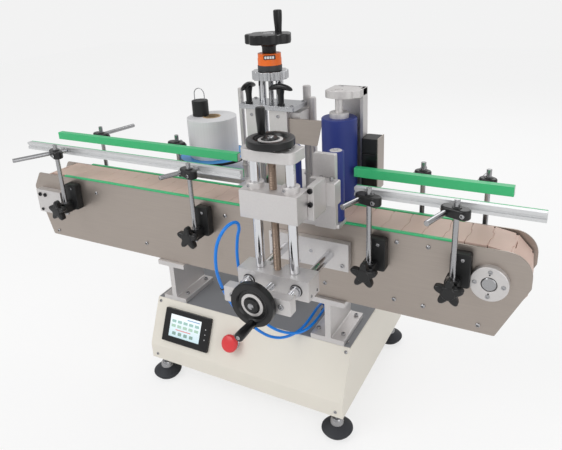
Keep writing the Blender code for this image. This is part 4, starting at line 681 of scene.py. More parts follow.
def flange_bearing(side, node):
    """A flat flange round the shaft, a black ring of painted shade in the dark gap, four screws and two grub
    holes.
    """
    out = outward(side)
    foot = spot(0, side * PLATE_OUT, SHAFT_Z)
    housing = [(0.0138, 0), (BEARING, 0), (BEARING, 0.011), (BEARING - 0.001, 0.012), (0.0144, 0.012),
               (0.0138, 0.0114)]
    trim(node + "_bearing", turned(housing, foot, out, 72, hollow=True), milled, node)
    # The black ring between shaft and housing is painted shade: it fills the gap where only shadow falls.
    gap_shade = [(0.0127, 0.0), (0.0139, 0.0), (0.0139, 0.01), (0.0127, 0.01)]
    trim(node + "_bearing_gap_shade", turned(gap_shade, foot, out, 48, hollow=True), gloss_black, node)
    screws = []
    for step in range(4):
        angle = math.radians(88) + step * math.pi / 2
        at = spot(BEARING_SCREWS * math.cos(angle), side * (PLATE_OUT + BEARING_FACE),
                  SHAFT_Z + BEARING_SCREWS * math.sin(angle))
        screws.append(socket_screw(at, out, 0.004, 0.0012))
    trim(node + "_bearing_screws", screws, steel, node)
    grubs = [turned([(0, 0), (0.0015, 0), (0.0015, 0.0004), (0, 0.0004)],
                    spot(0, side * (PLATE_OUT + BEARING_FACE), SHAFT_Z + z), out, 16)
             for z in (-0.0185, 0.0185)]
    trim(node + "_bearing_grubs", grubs, dark_steel, node)


def tension_block(side, node):
    low = spot(IDLER - 0.043, side * PLATE_OUT, SHAFT_Z - 0.0372)
    high = spot(IDLER + 0.043, side * (PLATE_OUT + 0.02), SHAFT_Z + 0.0248)
    trim(node + "_tension_block", block(low, high, 0.0012, 0.002, "y"), milled, node)
    out = outward(side)
    face = PLATE_OUT + 0.0198
    holes = [socket_screw(spot(IDLER + x, side * face, SHAFT_Z + z), out, 0.0052, 0.003)
             for x, z in ((-0.03, 0.012), (-0.012, 0.012))]
    holes += [socket_screw(spot(IDLER + x, side * face, SHAFT_Z - 0.029), out, 0.0038, 0.0026)
              for x in (-0.03, 0.03)]
    jack = threaded(spot(IDLER + 0.043, side * (PLATE_OUT + 0.01), SHAFT_Z - 0.004), "x", 0.003, 0.022,
                    0.0012, 0.0004)
    trim(node + "_tension_screws",
         holes + [jack,
                  nut(spot(IDLER + 0.0432, side * (PLATE_OUT + 0.01), SHAFT_Z - 0.004), "x", 0.0095, 0.004)],
         dark_steel, node)


for side, node in SIDE_PLATES.items():
    flange_bearing(side, node)
    tension_block(side, node)


def shaft_piece(node, radius, sprocket_radius=0.0518):
    """A ground bar with chamfered ends, and two toothed wheels whose edge dips where a hinge rests."""
    low, high = ends(node)
    x = middle(node)[0]
    parts = [rod((x, low[1], SHAFT_Z), "y", radius, high[1] - low[1], 0.001, 48)]
    angle = np.linspace(0, 2 * math.pi, 96, endpoint=False)
    reach = sprocket_radius - 0.0022 * (0.5 - 0.5 * np.cos(9 * angle)) ** 2
    outline = np.column_stack([x + reach * np.cos(angle), SHAFT_Z + reach * np.sin(angle)])
    for start in (HOME[1] - 0.014, HOME[1] + 0.006):
        parts.append(slab(outline, start, start + 0.008, "y", 0.0008))
    fit(node + "_ground", parts, steel, node)


shaft_piece("drive_shaft", 0.0125)
shaft_piece("idler_shaft", 0.01)
print("bearings and blocks on both sides")

# %% [markdown]
# A post bracket is a moulded black body bolted to the plate, with a split boss that a star
# knob tightens on the post. The knob's edge swings between its lobes as a cosine does.

# %% Brackets and star knobs
POSTS = {"front_left": (-1, (0.9325, 0.565)), "front_right": (-1, (0.196, 0.054)),
         "back_left": (1, (0.942, 0.709)), "back_right": (1, (0.145, 0.031))}
BRACKET_LOW, POST_Y = 0.402, 0.08


def star(x, z, lobes=5, outer=0.0262, inner=0.014, count=120):
    """Radius swings from inner to outer as cos(lobes a), held a little wide at the lobes by a soft power."""
    angle = np.linspace(0, 2 * math.pi, count, endpoint=False)
    wave = (0.5 + 0.5 * np.cos(lobes * angle)) ** 0.9
    reach = inner + (outer - inner) * wave
    return np.column_stack([x - reach * np.sin(angle), z + reach * np.cos(angle)])


def bracket(x, side, name, node):
    out = outward(side)
    left = x - 0.009 if side < 0 else x - 0.027
    body = [block(spot(left, side * PLATE_OUT, BRACKET_LOW),
                  spot(left + 0.036, side * (PLATE_OUT + 0.019), BRACKET_LOW + 0.066), 0.0022, 0.006, "y"),
            block(spot(x - 0.0125, side * (PLATE_OUT + 0.009), BRACKET_LOW - 0.002),
                  spot(x + 0.0125, side * (POST_Y + 0.0132), BRACKET_LOW + 0.022), 0.0018, 0.004)]
    z = BRACKET_LOW + 0.01
    hub = [(0, 0), (0.009, 0), (0.0085, 0.005), (0.013, 0.0065), (0, 0.0065)]
    body.append(turned(hub, spot(x, side * (POST_Y + 0.0133), z), out, 32))
    near, far = sorted((HOME[1] + side * (POST_Y + 0.0185), HOME[1] + side * (POST_Y + 0.0337)))
    knob = slab(star(HOME[0] + x, z), near, far, "y", 0.004, 4)
    cap = turned([(0, 0), (0.0125, 0), (0.0115, 0.0012), (0, 0.0018)], spot(x, side * (POST_Y + 0.0335), z),
                 out, 32)
    trim(name + "_body", body, black, node)
    trim(name + "_knob", [knob, cap], gloss_black, node)
    bolts = [socket_screw(spot(left + 0.022, side * (PLATE_OUT + 0.0188), BRACKET_LOW + 0.055), out, 0.0034,
                          0.002)]
    bolts.append(turned([(0.0058, 0), (0.0105, 0), (0.0105, 0.001), (0.0058, 0.001)],
                        spot(x, side * POST_Y, BRACKET_LOW + 0.0218), "z", 32, hollow=True))
    trim(name + "_bolts", bolts, steel, node)


for rail, (side, shares) in POSTS.items():
    for end, share in zip("ab", shares):
        bracket(IDLER * share, side, f"bracket_{rail}_{end}", SIDE_PLATES[side])
print("brackets and knobs", 8)

# %% [markdown]
# The chain is flat slats joined by barrels. Each slat has a tongue at one end and a notch at
# the other, so the top stays closed as it bends. One slat is shaped once, and a stack of
# matrices lays all of them round the two shafts.

# %% Slat chain
SLATS, SLAT_WIDE, SLAT_THICK = 66, 0.0826, 0.0048
HINGE_DROP, HINGE_RADIUS = 0.0026, 0.004
belt_radius = BELT_TOP - SHAFT_Z
path_radius = belt_radius - SLAT_THICK - HINGE_DROP
span, arc = -IDLER, math.pi * path_radius
pitch = 2 * (span + arc) / SLATS


def hinge_places(count):
    """Along the loop: a straight run, a half turn, the run back, a half turn, all at the path's radius."""
    along = np.arange(count) * pitch % (2 * (span + arc))
    turn_one = np.clip(along - span, 0, arc) / path_radius
    turn_two = np.clip(along - 2 * span - arc, 0, arc) / path_radius
    angle = turn_one + turn_two
    run = np.clip(along, 0, span) - np.clip(along - span - arc, 0, span)
    return np.column_stack([IDLER + run + path_radius * np.sin(angle), np.zeros(count),
                            SHAFT_Z + path_radius * np.cos(angle)])


def slat_moves():
    """Each slat's matrix: its middle between two hinges, its X from one to the next."""
    start = hinge_places(SLATS)
    along = np.roll(start, -1, 0) - start
    centre = (start + np.roll(start, -1, 0)) / 2
    along /= np.linalg.norm(along, axis=1, keepdims=True)
    up = np.column_stack([-along[:, 2], np.zeros(SLATS), along[:, 0]])
    moves = np.zeros((SLATS, 4, 4))
    moves[:, :3, 0], moves[:, 1, 1], moves[:, :3, 2], moves[:, 3, 3] = along, 1.0, up, 1.0
    moves[:, :3, 3] = centre + HOME
    return moves


def repeat(shape, moves):
    """The shape once for each matrix, all points in one product."""
    points = np.einsum("mij,nj->mni", moves[:, :3, :3], shape.points) + moves[:, None, :3, 3]
    size = len(shape.points)
    faces = [tuple(i + size * number for i in face) for number in range(len(moves)) for face in shape.faces]
    return Shape(points.reshape(-1, 3), faces)


def slat():
    """A flat leaf with a shallow tongue, a nick at each corner, and a lip that closes the gap on a bend."""
    half, wide, tongue, reach, nick = (pitch - 0.0004) / 2, SLAT_WIDE / 2, 0.0125, 0.003, 0.0008
    right = [(half - nick, -wide), (half - nick, -wide + 0.006), (half, -wide + 0.007),
             (half, -tongue - 0.004), (half + reach, -tongue + 0.003), (half + reach, tongue - 0.003),
             (half, tongue + 0.004), (half, wide - 0.007), (half - nick, wide - 0.006), (half - nick, wide)]
    left = [(-half, wide), (-half, tongue + 0.0045), (-half + reach, tongue - 0.0025),
            (-half + reach, -tongue + 0.0025), (-half, -tongue - 0.0045), (-half, -wide)]
    leaf = slab(rounded(right + left, 0.001, 2), HINGE_DROP, HINGE_DROP + SLAT_THICK, "z", 0.0004, 1)
    lip = block((half - 0.002, -wide + 0.004, HINGE_DROP + 0.0002),
                (half + 0.0045, wide - 0.004, HINGE_DROP + 0.0035), 0.0004)
    return leaf + lip


moves = slat_moves()
fit("slat_chain_slats", repeat(slat(), moves), resin, "slat_chain")
barrel = [turned([(0, low), (HINGE_RADIUS, low), (HINGE_RADIUS, high), (0, high)], (-pitch / 2, 0, 0), "y",
                 10) for low, high in ((-0.021, -0.0135), (-0.0125, 0.0125), (0.0135, 0.021))]
pin = turned([(0, -0.0215), (0.0022, -0.0215), (0.0022, 0.0215), (0, 0.0215)], (-pitch / 2, 0, 0), "y", 8)
# The hinges take the darker copy of the resin, which is painted shade under the slats.
trim("slat_chain_hinges", repeat(gather(barrel + [pin]), moves), painted_shade_resin, "slat_chain")
print("slats", SLATS, "pitch mm", round(pitch * 1000, 2))

# %% [markdown]
# Green slide strips are clipped over the plates' top edges. The tie bars and the drive hide
# inside and behind, so they get plain forms.

# %% Slide strips, tie bars and gear motor
for node, side in (("slide_strip_front", -1), ("slide_strip_back", 1)):
    low, high = ends(node)
    top = high[2]
    cap = [(0.0353, top - 0.0103), (0.0457, top - 0.0103), (0.0457, top - 0.0035), (0.0493, top - 0.0035),
           (0.0493, top), (0.0423, top), (0.0423, top - 0.0069), (0.0353, top - 0.0069)]
    outline = [(HOME[1] + side * y, z) for y, z in cap]
    fit(node + "_extrusion", slab(rounded(outline, 0.0008, 2), low[0], high[0], "x", 0.0004), green, node)

ties = []
for shares, z, radius in (((0.86, 0.508, 0.156, 0.102), BELT_TOP - 0.027, 0.008),
                          ((0.97, 0.728, 0.293, 0.159, 0.106, 0.013), PLATE_LOW + 0.031, 0.007)):
    ties += [rod(spot(IDLER * share, -PLATE_IN, z), "y", radius, 2 * PLATE_IN) for share in shares]
trim("tie_bars", ties, steel, "side_plate_back")
low, high = ends("gear_motor")
box_left = HOME[0] - 0.017
motor_axis = (box_left, (low[1] + high[1]) / 2, SHAFT_Z - 0.065)
gearbox = block((box_left, low[1] + 0.009, low[2]), (high[0], high[1] - 0.009, high[2]), 0.002, 0.008, "y")
fins = [(0, -0.001), (0.0187, -0.001), (0.0187, 0.014), (0.026, 0.014)]
for step in range(24):
    height = 0.02 + step * 0.0055
    fins += [(0.026, height), (0.0242, height + 0.0008), (0.0242, height + 0.0032), (0.026, height + 0.004)]
fins += [(0.026, 0.159), (0.0235, 0.173), (0, 0.173)]
fit("gear_motor_housing", [gearbox, turned(fins, motor_axis, "-x", 40)], motor_grey, "gear_motor")
print("tie bars", len(ties))

# %% [markdown]
# Each side guide is an aluminium profile with a green strip on the bottle's side. Two rods
# run from it through cross clamps on upright posts, so that it can be set in, out, up and down.

# %% Guide rails, posts and clamps
ROD_ANGLE = {"front_left": 27, "front_right": 17, "back_left": 10, "back_right": 10}
ROD_OUT = {"front_left": (0.095, 0.06), "front_right": (0.058, 0.07), "back_left": (0.117, 0.028),
           "back_right": (0.04, 0.04)}
RAIL_Z = BELT_TOP + 0.059 + 0.011
FACE = 0.0393
ROD_BESIDE = 0.0148
ROD_RADIUS, POST_RADIUS, CLAMP_HALF = 0.005, 0.005, 0.0118


def guide(rail, side, shares):
    node = f"guide_rail_{rail}"
    strip = f"rail_strip_{rail}"
    low, high = ends(strip)
    depth, groove = 0.012, 0.003
    z0, z1 = (low[2] + 0.0015, high[2] - 0.003) if side < 0 else (low[2] + 0.0045, high[2] - 0.0004)
    third = (z1 - z0) * 0.36
    profile = [(FACE, z0), (FACE + depth, z0), (FACE + depth, z0 + third),
               (FACE + depth - groove, z0 + third), (FACE + depth - groove, z1 - third),
               (FACE + depth, z1 - third), (FACE + depth, z1), (FACE, z1)]
    outline = rounded([(HOME[1] + side * y, z) for y, z in profile], 0.0008, 2)
    fit(f"rail_profile_{rail}", slab(outline, low[0], high[0], "x", 0.0005), extruded, node)
    top = z1 if side < 0 else z1 + 0.0016
    near, far = (low[1], high[1]) if side > 0 else (high[1], low[1])
    foot, lip_z = z0 + 0.0004, z1 + 0.0001
    lipped = [(far, lip_z), (far + depth, lip_z), (far + depth, top)]
    face = [(near, foot), (far, foot), *(lipped if side > 0 else [(far, top)]), (near, top)]
    face = rounded(face, 0.0006, 3)
    fit(f"rail_facing_{rail}", slab(face, low[0] + 0.0003, high[0] - 0.0003, "x", 0.0004), green, strip)
    turn = math.radians(ROD_ANGLE[rail])
    out = np.array([math.sin(turn) * side, math.cos(turn) * side, 0.0])
    across = np.array([math.cos(turn), -math.sin(turn), 0.0])
    rods = []
    for end, share, outreach in zip("ab", shares, ROD_OUT[rail]):
        post = spot(IDLER * share, side * POST_Y, RAIL_Z)
        start = post - across * ROD_BESIDE
        seat = FACE + depth - groove - 0.001
        inward = abs(POST_Y + ROD_BESIDE * math.sin(turn) * side - seat) / math.cos(turn)
        rods.append(rod(start - out * inward, tuple(out), ROD_RADIUS, inward + outreach, 0.0008, 28))
        posts(rail, end, post, out, across)
    trim(f"rail_rods_{rail}", rods, steel, node)


def posts(rail, end, at, out, across):
    """The upright post, the flat oval clamp round it, and the clamp's bolts."""
    node = f"guide_post_{rail}_{end}"
    low, high = ends(node)
    above = 0.009 if rail.startswith("back") else 0.006
    fit(f"post_{rail}_{end}",
        rod((at[0], at[1], low[2]), "z", POST_RADIUS, high[2] - low[2] + above, 0.0008, 28), steel, node)
    angle = np.linspace(-math.pi / 2, math.pi / 2, 14)
    long_right, long_left = (0.004, 0.006) if rail == "back_right" else (0.0125, 0.0165)
    right = np.column_stack([long_right + CLAMP_HALF * np.cos(angle), CLAMP_HALF * np.sin(angle)])
    left = np.column_stack([-long_left - CLAMP_HALF * np.cos(angle), -CLAMP_HALF * np.sin(angle)])
    local = np.vstack([right, left])
    side = np.array([-across[1], across[0]])
    outline = at[:2] + local[:, :1] * across[:2] + local[:, 1:] * side
    body = [slab(outline, at[2] - 0.0088, at[2] + 0.0088, "z", 0.0034, 5)]
    body.append(turned([(0.0052, 0), (0.0085, 0), (0.008, 0.0016), (0.0052, 0.002)],
                       (at[0], at[1], at[2] + 0.0086), "z", 32, hollow=True))
    trim(f"clamp_{rail}_{end}", body, gloss_black, node)
    bolts = [socket_screw(at + across * (long_right + 0.003) + out * 0.0108, tuple(out), 0.0042, 0.0022)]
    bolts.append(socket_screw(at - across * (long_left + 0.011), tuple(-across), 0.0034, 0.0022))
    trim(f"clamp_bolts_{rail}_{end}", bolts, steel, node)


for rail, (side, shares) in POSTS.items():
    guide(rail, side, shares)
print("guide rails", len(POSTS))

# %% [markdown]
# The cabinet is one folded sheet: its outline, with small bend radii, is carried across the
# width. The grey deck lies inside its rim, and the screen and stop button sit on the slope.

# %% Cabinet, deck and feet
shell_left, shell_right = HOME[0] - 0.7585, HOME[0] - 0.2555
FLOOR, FOLD = 0.059, 0.098
SHELL_FRONT, SHELL_BACK, PANEL_TOP = -0.105, 0.305, -0.057
fronts = [(SHELL_FRONT, FLOOR), (SHELL_BACK, FLOOR), (SHELL_BACK, deck_top), (PANEL_TOP, deck_top),
          (SHELL_FRONT, FOLD)]
outline = rounded([(HOME[1] + y, z) for y, z in fronts], [0.002, 0.002, 0.002, 0.0025, 0.0025], 3)
fit("cabinet_folded_shell", slab(outline, shell_left, shell_right, "x", 0.0016, 3), cream, "cabinet_shell")
low, high = ends("cabinet_deck")
fit("deck_plate",
    block((low[0], low[1] - 0.001, low[2]), (high[0], high[1], high[2] + 0.0006), 0.0005, 0.002),
    deck_grey, "cabinet_deck")
DECK_SCREWS = [(x, y) for x in (low[0] + 0.012, high[0] - 0.012) for y in (low[1] + 0.014, high[1] - 0.014)]
trim("deck_screws",
     [socket_screw((x, y, deck_top + OFFSET), "z", 0.004, 0.002, 0.0006) for x, y in DECK_SCREWS],
     steel, "cabinet_deck")


def foot_pad(x, y):
    """The rubber pad of a levelling foot, wide at the floor and drawn in to the cup."""
    pad = [(0, 0), (0.0235, 0), (0.0255, 0.001), (0.03, 0.006), (0.033, 0.0105), (0.034, 0.0125),
           (0.0338, 0.0145), (0.0315, 0.017), (0.023, 0.0225), (0.0165, 0.0258), (0.015, 0.0264), (0, 0.0266)]
    return turned(pad, (x, y, 0.0), "z", 48)


feet, studs = [], []
for x in (shell_left + 0.022, shell_right - 0.022):
    for y in (HOME[1] + SHELL_FRONT + 0.022, HOME[1] + SHELL_BACK - 0.03):
        feet.append(foot_pad(x, y))
        studs.append(threaded((x, y, 0.024), "z", 0.006, 0.0355, 0.0018, 0.0007))
        studs.append(nut((x, y, 0.049), "z", 0.02, 0.0085))
        cup = [(0, 0), (0.015, 0), (0.015, 0.002), (0.0132, 0.011), (0.01, 0.015), (0, 0.015)]
        studs.append(turned(cup, (x, y, 0.0255), "z", 40))
trim("foot_pads", feet, rubber, "cabinet_shell")
trim("foot_studs", studs, steel, "cabinet_shell")
inlet = [block(spot(-0.678, 0.2985, 0.104), spot(-0.628, 0.3055, 0.134), 0.0008, 0.003, "y")]
trim("power_inlet", inlet, gloss_black, "cabinet_shell")
print("feet", len(feet))

# %% [markdown]
# Everything on the sloping panel is drawn flat, as on a bench, then one matrix lays it on
# the slope: its X along the panel, its Y up the slope and its Z out of it.

# %% Screen and stop button
PANEL_RISE, PANEL_RUN = 0.105, 0.048
slope = math.atan2(PANEL_RISE, PANEL_RUN)
panel = Matrix.Translation(Vector((shell_left, HOME[1] + PANEL_TOP, deck_top)))
panel = panel @ Matrix.Rotation(slope, 4, "X")


def on_panel(shape):
    return shape.moved(panel)


centre = np.array([0.099, -0.0575])
size, window = np.array([0.131, 0.079]) / 2, np.array([0.089, 0.053]) / 2
shift = np.array([-0.004, 0.001])


def ring_between(outer, inner, low, high, edge=0.0012):
    """A frame: rings run up the outer outline, over the top and down the inner one."""
    levels = [(outer, 0.0, low), (outer, 0.0, high - edge), (outer, edge * 0.3, high - edge * 0.3),
              (outer, edge, high), (inner, 0.0, high), (inner, 0.0, low)]
    rings = [np.column_stack([inset(outline, depth), np.full(len(outline), level)])
             for outline, depth, level in levels]
    return skin(rings, ring_closed=True)


bezel = ring_between(rounded(rectangle(centre - size, centre + size), 0.0028, 6),
                     rounded(rectangle(centre + shift - window, centre + shift + window), 0.001, 6), 0.0003,
                     0.0073)
fit("screen_surround", on_panel(bezel), gloss_black, "screen_bezel")
display = Look("lit_display", 0.12)
place = display.part(2)
glow = display.mix((place - 0.125) / 0.05, tint(196, 222, 230), tint(240, 246, 249))
display.set(glow)
put(display.shader.inputs["Emission Color"], glow)
display.shader.inputs["Emission Strength"].default_value = 0.25
pane = block((*(centre + shift - window * 0.995), 0.003), (*(centre + shift + window * 0.995), 0.0062),
             0.0003)
fit("screen_pane", on_panel(pane), display, "screen_display")


def tile(x, y, wide, tall, lift=0.0063):
    middle_x, middle_y = centre + shift + np.array([x, y])
    outline = rounded(rectangle((middle_x - wide / 2, middle_y - tall / 2),
                                (middle_x + wide / 2, middle_y + tall / 2)), 0.0012, 3)
    return on_panel(slab(outline, lift, lift + 0.00015, "z", 0.00005, 1))


def plain_look(name, colour, roughness=0.3):
    look = Look(name, roughness)
    grain = look.noise(400.0)
    base = tint(*colour)
    return look.set(look.mix(grain, tuple(c * 0.96 for c in base), base))


tiles = {
    "screen_header": ((150, 188, 224), [(0.022, 0.0205, 0.036, 0.0022)]),
    "screen_keys": ((176, 216, 208), [(-0.033 + 0.0165 * i, 0.011, 0.012, 0.0065) for i in range(5)]),
    "screen_fields": ((190, 224, 204), [(-0.033 + 0.0165 * i, 0.0, 0.012, 0.0065) for i in range(5)]),
    "screen_line": ((236, 148, 152), [(-0.004, -0.0085, 0.044, 0.0022)]),
    "screen_feet": ((150, 182, 172), [(-0.029 + 0.0165 * i, -0.0175, 0.01, 0.0075) for i in range(4)]),
}
for name, (colour, places) in tiles.items():
    trim(name, [tile(*place) for place in places], plain_look(name, colour), "screen_display")
lamps = [on_panel(turned([(0, 0), (0.0012, 0), (0.001, 0.0003), (0, 0.0004)], (centre[0] + 0.0545, y, 0.0073),
                         "z", 16)) for y in centre[1] + np.array([-0.012, 0.0, 0.012])]
trim("screen_lamps", lamps, white_plastic, "screen_bezel")

STOP = (0.2275, -0.0565, 0.0)
mushroom = [(0, -0.009), (0.0108, -0.009), (0.0108, 0.0125), (0.017, 0.0128), (0.0196, 0.014),
            (0.0202, 0.0165), (0.0196, 0.02), (0.017, 0.0232), (0.011, 0.0252), (0.0, 0.0258)]
fit("stop_mushroom", on_panel(turned(mushroom, STOP, "z", 56)), red, "stop_button")
collar = [(0.0115, 0.0002), (0.0165, 0.0002), (0.0165, 0.0025), (0.015, 0.004), (0.0115, 0.0044)]
trim("stop_collar", on_panel(turned(collar, STOP, "z", 48, hollow=True)), steel, "cabinet_shell")
panel_screws = [on_panel(socket_screw((x, y, 0.0), "z", 0.0036, 0.0015, 0.0008))
                for x, y in ((0.0095, -0.009), (0.4935, -0.01))]
panel_screws += [socket_screw(spot(x, SHELL_FRONT, 0.073), "-y", 0.0036, 0.0015, 0.0008)
                 for x in (-0.741, -0.272)]
trim("panel_screws", panel_screws, steel, "cabinet_shell")
print("screen tiles", sum(len(places) for _, places in tiles.values()))

# %% [markdown]
# The conveyor stands on two milled I-shaped supports, each held to the deck by four socket
# screws through its foot.

# %% Supports
for node, side in (("conveyor_support_left", -1), ("conveyor_support_right", 1)):
    low, high = ends(node)
    foot_x = shell_left + 0.039 if side < 0 else shell_right - 0.039
    web_x = foot_x - side * 0.012
    flange, web, thick = 0.0375, 0.0065, 0.012
    foot_left, foot_right = (web_x - 0.0315, web_x + 0.033) if side < 0 else (web_x - 0.0405, web_x + 0.0355)
    bottom, top = low[2], high[2]
    outline = [(foot_left, bottom), (foot_right, bottom), (foot_right, bottom + thick),
               (web_x + web, bottom + thick), (web_x + web, top - thick), (web_x + flange, top - thick),
               (web_x + flange, top), (web_x - flange, top), (web_x - flange, top - thick),
               (web_x - web, top - thick), (web_x - web, bottom + thick), (foot_left, bottom + thick)]
    radii = [0.0014, 0.0014, 0.0014, 0.0025, 0.0025, 0.0014, 0.0014, 0.0014, 0.0014, 0.0025, 0.0025, 0.0014]
    fit(node + "_milled", slab(rounded(outline, radii, 3), low[1], high[1], "y", 0.0008), milled, node)
    bolts = [socket_screw((x, y, bottom + thick), "z", 0.0045, 0.0045)
             for x in (foot_left + 0.01, foot_right - 0.01) for y in (low[1] + 0.022, high[1] - 0.016)]
    trim(node + "_bolts", bolts, steel, node)
print("supports", 2)

# %% [markdown]
# The bottle press is the machine's finest mechanism: a saddle on two level rods, driven in by
# a handwheel and screw, carries two upright rods, and a second wheel and screw lift the slider
# on them. Its blocks are milled bars with bushes. The threads are drawn single start, at 3 mm.

# %% Press guide, saddle and top block
PRESS_X = middle("press_guide")[0]
PRESS_Z = middle("press_guide")[2]
LEVEL_RODS, UPRIGHT_RODS = (-0.0475, 0.0475), (-0.0345, 0.0345)
LEVEL_RADIUS, UPRIGHT_RADIUS = 0.0086, 0.009
THREAD_PITCH = 0.003
low, high = ends("press_mount_block")
fit("mount_block", block((low[0], low[1], low[2] - 0.004), high, 0.001, 0.002, "y"), milled,
    "press_mount_block")
holes = [socket_screw((low[0] + x, low[1] + OFFSET, low[2] + z), "-y", 0.0044, 0.0022)
         for x, z in ((0.01, 0.01), (0.01, 0.046), (0.161, 0.008))]
holes.append(turned([(0, 0), (0.004, 0), (0.004, 0.0003), (0, 0.0003)], (PRESS_X + 0.0075, low[1], PRESS_Z),
                    "-y", 24))
trim("mount_screws", holes, steel, "press_mount_block")

bar_low, bar_high = ends("press_guide")
bar_high = np.array([bar_high[0], bar_low[1] + 0.02, bar_high[2]])
fit("end_bar", block(bar_low, bar_high, 0.001, 0.002, "y"), milled, "press_guide")
rods = [rod((PRESS_X + dx, bar_high[1] - BITE, PRESS_Z), "y", LEVEL_RADIUS,
            ends("press_guide")[1][1] - bar_high[1] + BITE) for dx in LEVEL_RODS]
trim("level_rods", rods, chrome, "press_guide")
screws = [socket_screw((PRESS_X + dx, bar_low[1] + OFFSET, PRESS_Z), "-y", 0.0055, 0.0024)
          for dx in LEVEL_RODS]
trim("end_bar_screws", screws, steel, "press_guide")

low, high = ends("saddle_block")
uy = (low[1] + high[1]) / 2
step = high[2] - 0.009
notch_left, notch_right = PRESS_X - 0.02, PRESS_X + 0.006
cut_y = uy + 0.009
slot = block((notch_left, cut_y, step), (notch_right, high[1] + 0.01, high[2] + 0.01), 0.0004)
fit("saddle_milled", carved(block(low, high, 0.001, 0.0014), slot), milled, "saddle_block")
bushes, rings = [], []
for dx in LEVEL_RODS:
    for y, out in ((low[1], "-y"), (high[1], "y")):
        bushes.append(turned([(0.0087, -0.001), (0.011, -0.001), (0.011, 0.0036), (0.0106, 0.0042),
                              (0.0087, 0.0042)], (PRESS_X + dx, y, PRESS_Z), out, 40, hollow=True))
        rings.append(turned([(0.0109, -0.001), (0.0121, -0.001), (0.0121, 0.0005), (0.0109, 0.0005)],
                            (PRESS_X + dx, y, PRESS_Z), out, 40, hollow=True))
trim("saddle_bushes", bushes, steel, "saddle_block")
trim("saddle_seals", rings, gloss_black, "saddle_block")
screws = [socket_screw((high[0] - OFFSET, y, low[2] + 0.008), "x", 0.003, 0.0012)
          for y in (low[1] + 0.011, high[1] - 0.011)]
trim("saddle_screws", screws, steel, "saddle_block")

low, high = ends("saddle_uprights")
top_low = high[2] - 0.02
half_x, half_y = 0.0515, 0.025
cap = rounded([(PRESS_X + half_x, uy + half_y), (PRESS_X - half_x, uy + half_y),
               (PRESS_X - half_x, uy - half_y), (PRESS_X + half_x, uy - half_y)], [0.003, 0.003, 0.02, 0.02],
              8)
fit("top_block", slab(cap, top_low, high[2], "z", 0.0012, 3), milled, "saddle_uprights")
trim("upright_rods",
     [rod((PRESS_X + dx, uy, low[2]), "z", UPRIGHT_RADIUS, top_low - low[2] + BITE) for dx in UPRIGHT_RODS],
     chrome, "saddle_uprights")
caps = [socket_screw((PRESS_X + dx, uy, high[2] - OFFSET), "z", 0.0052, 0.0022) for dx in UPRIGHT_RODS]
trim("top_block_screws", caps, steel, "saddle_uprights")
print("press frame ready")

# %% [markdown]
# A handwheel is a moulded disc with a thick rim and a thin dished web. One profile turned
# through a full circle gives all of it. The grip spins on its pin, so it is a piece of its own.

# %% Handwheels, cranks and lead screws
def handwheel(face_at, axis, node, prefix):
    """Rim, dished web and hub in one profile; a pale ring marks the hub as on the real wheel."""
    low, high = ends(node)
    wide = (high[0] - low[0]) / 2
    rim = [(0, 0), (0.0125, 0), (0.0125, 0.004), (wide - 0.014, 0.0035), (wide - 0.013, 0.0004),
           (wide - 0.012, 0), (wide - 0.0014, 0), (wide - 0.0004, 0.0004), (wide, 0.0014), (wide, 0.0108),
           (wide - 0.0006, 0.0122), (wide - 0.0022, 0.013), (wide - 0.011, 0.013), (wide - 0.0122, 0.0124),
           (wide - 0.0145, 0.0088), (0.0215, 0.008), (0.0205, 0.0095), (0.0135, 0.011), (0.0125, 0.0132),
           (0, 0.0132)]
    fit(prefix + "_rim", turned(rim, face_at, axis, 72), gloss_black, node)
    ring = [(0.0155, 0.0078), (0.0212, 0.0078), (0.021, 0.01), (0.0158, 0.0108)]
    trim(prefix + "_hub_ring", turned(ring, face_at, axis, 48, hollow=True), milled, node)
    trim(prefix + "_hub_nut",
         turned([(0, 0.013), (0.006, 0.013), (0.0056, 0.015), (0.0035, 0.0158), (0, 0.016)], face_at, axis,
                32), steel, node)


def crank_grip(node, axis, prefix):
    """A barrel-shaped grip: its radius swells in the middle and its nose is rounded."""
    low, high = ends(node)
    centre = (low + high) / 2
    direction = np.array(AXES[axis], float)
    length = float(np.abs((high - low) @ direction))
    foot = centre - direction * length / 2
    share = np.linspace(0.0, 1.0, 13)
    swell = 1.24 if prefix == "head_crank" else 1.12
    reach = swell * (0.006 + 0.0016 * np.sin(np.clip(share * 1.15, 0, 1) * math.pi / 2) ** 1.5)
    reach[-3:] = swell * np.array([0.0075, 0.007, 0.0054])
    share[-3:] = [0.93, 0.975, 0.997]
    profile = [(0, 0.0), *zip(reach, share * length), (0, length)]
    fit(prefix + "_grip", turned(profile, foot, axis, 32), gloss_black, node)
    if prefix != "head_crank":
        trim(prefix + "_screw", socket_screw(foot + direction * (length - OFFSET), axis, 0.0036, 0.0008),
             steel, node)


low, high = ends("reach_wheel")
wheel_back = bar_low[1] - 0.004
handwheel((PRESS_X, wheel_back, PRESS_Z), "-y", "reach_wheel", "reach_wheel")
trim("reach_thread",
     threaded((PRESS_X, wheel_back - BITE, PRESS_Z), "y", 0.0065, high[1] - wheel_back + BITE, THREAD_PITCH,
              0.0009), steel, "reach_wheel")
crank_grip("reach_crank", "-y", "reach_crank")
low, high = ends("lift_wheel")
handwheel((PRESS_X, uy, high[2] - 0.013), "z", "lift_wheel", "lift_wheel")
trim("lift_thread",
     threaded((PRESS_X, uy, low[2]), "z", 0.007, high[2] - 0.012 - low[2], THREAD_PITCH, 0.0009),
     bronze, "lift_wheel")
crank_grip("lift_crank", "z", "lift_crank")
print("press wheels ready")

# %% [markdown]
# The slider carries an angle arm, and on it an air cylinder pushes the roller carrier toward
# the bottle. Collars stand on the slider's top, round the two rods.

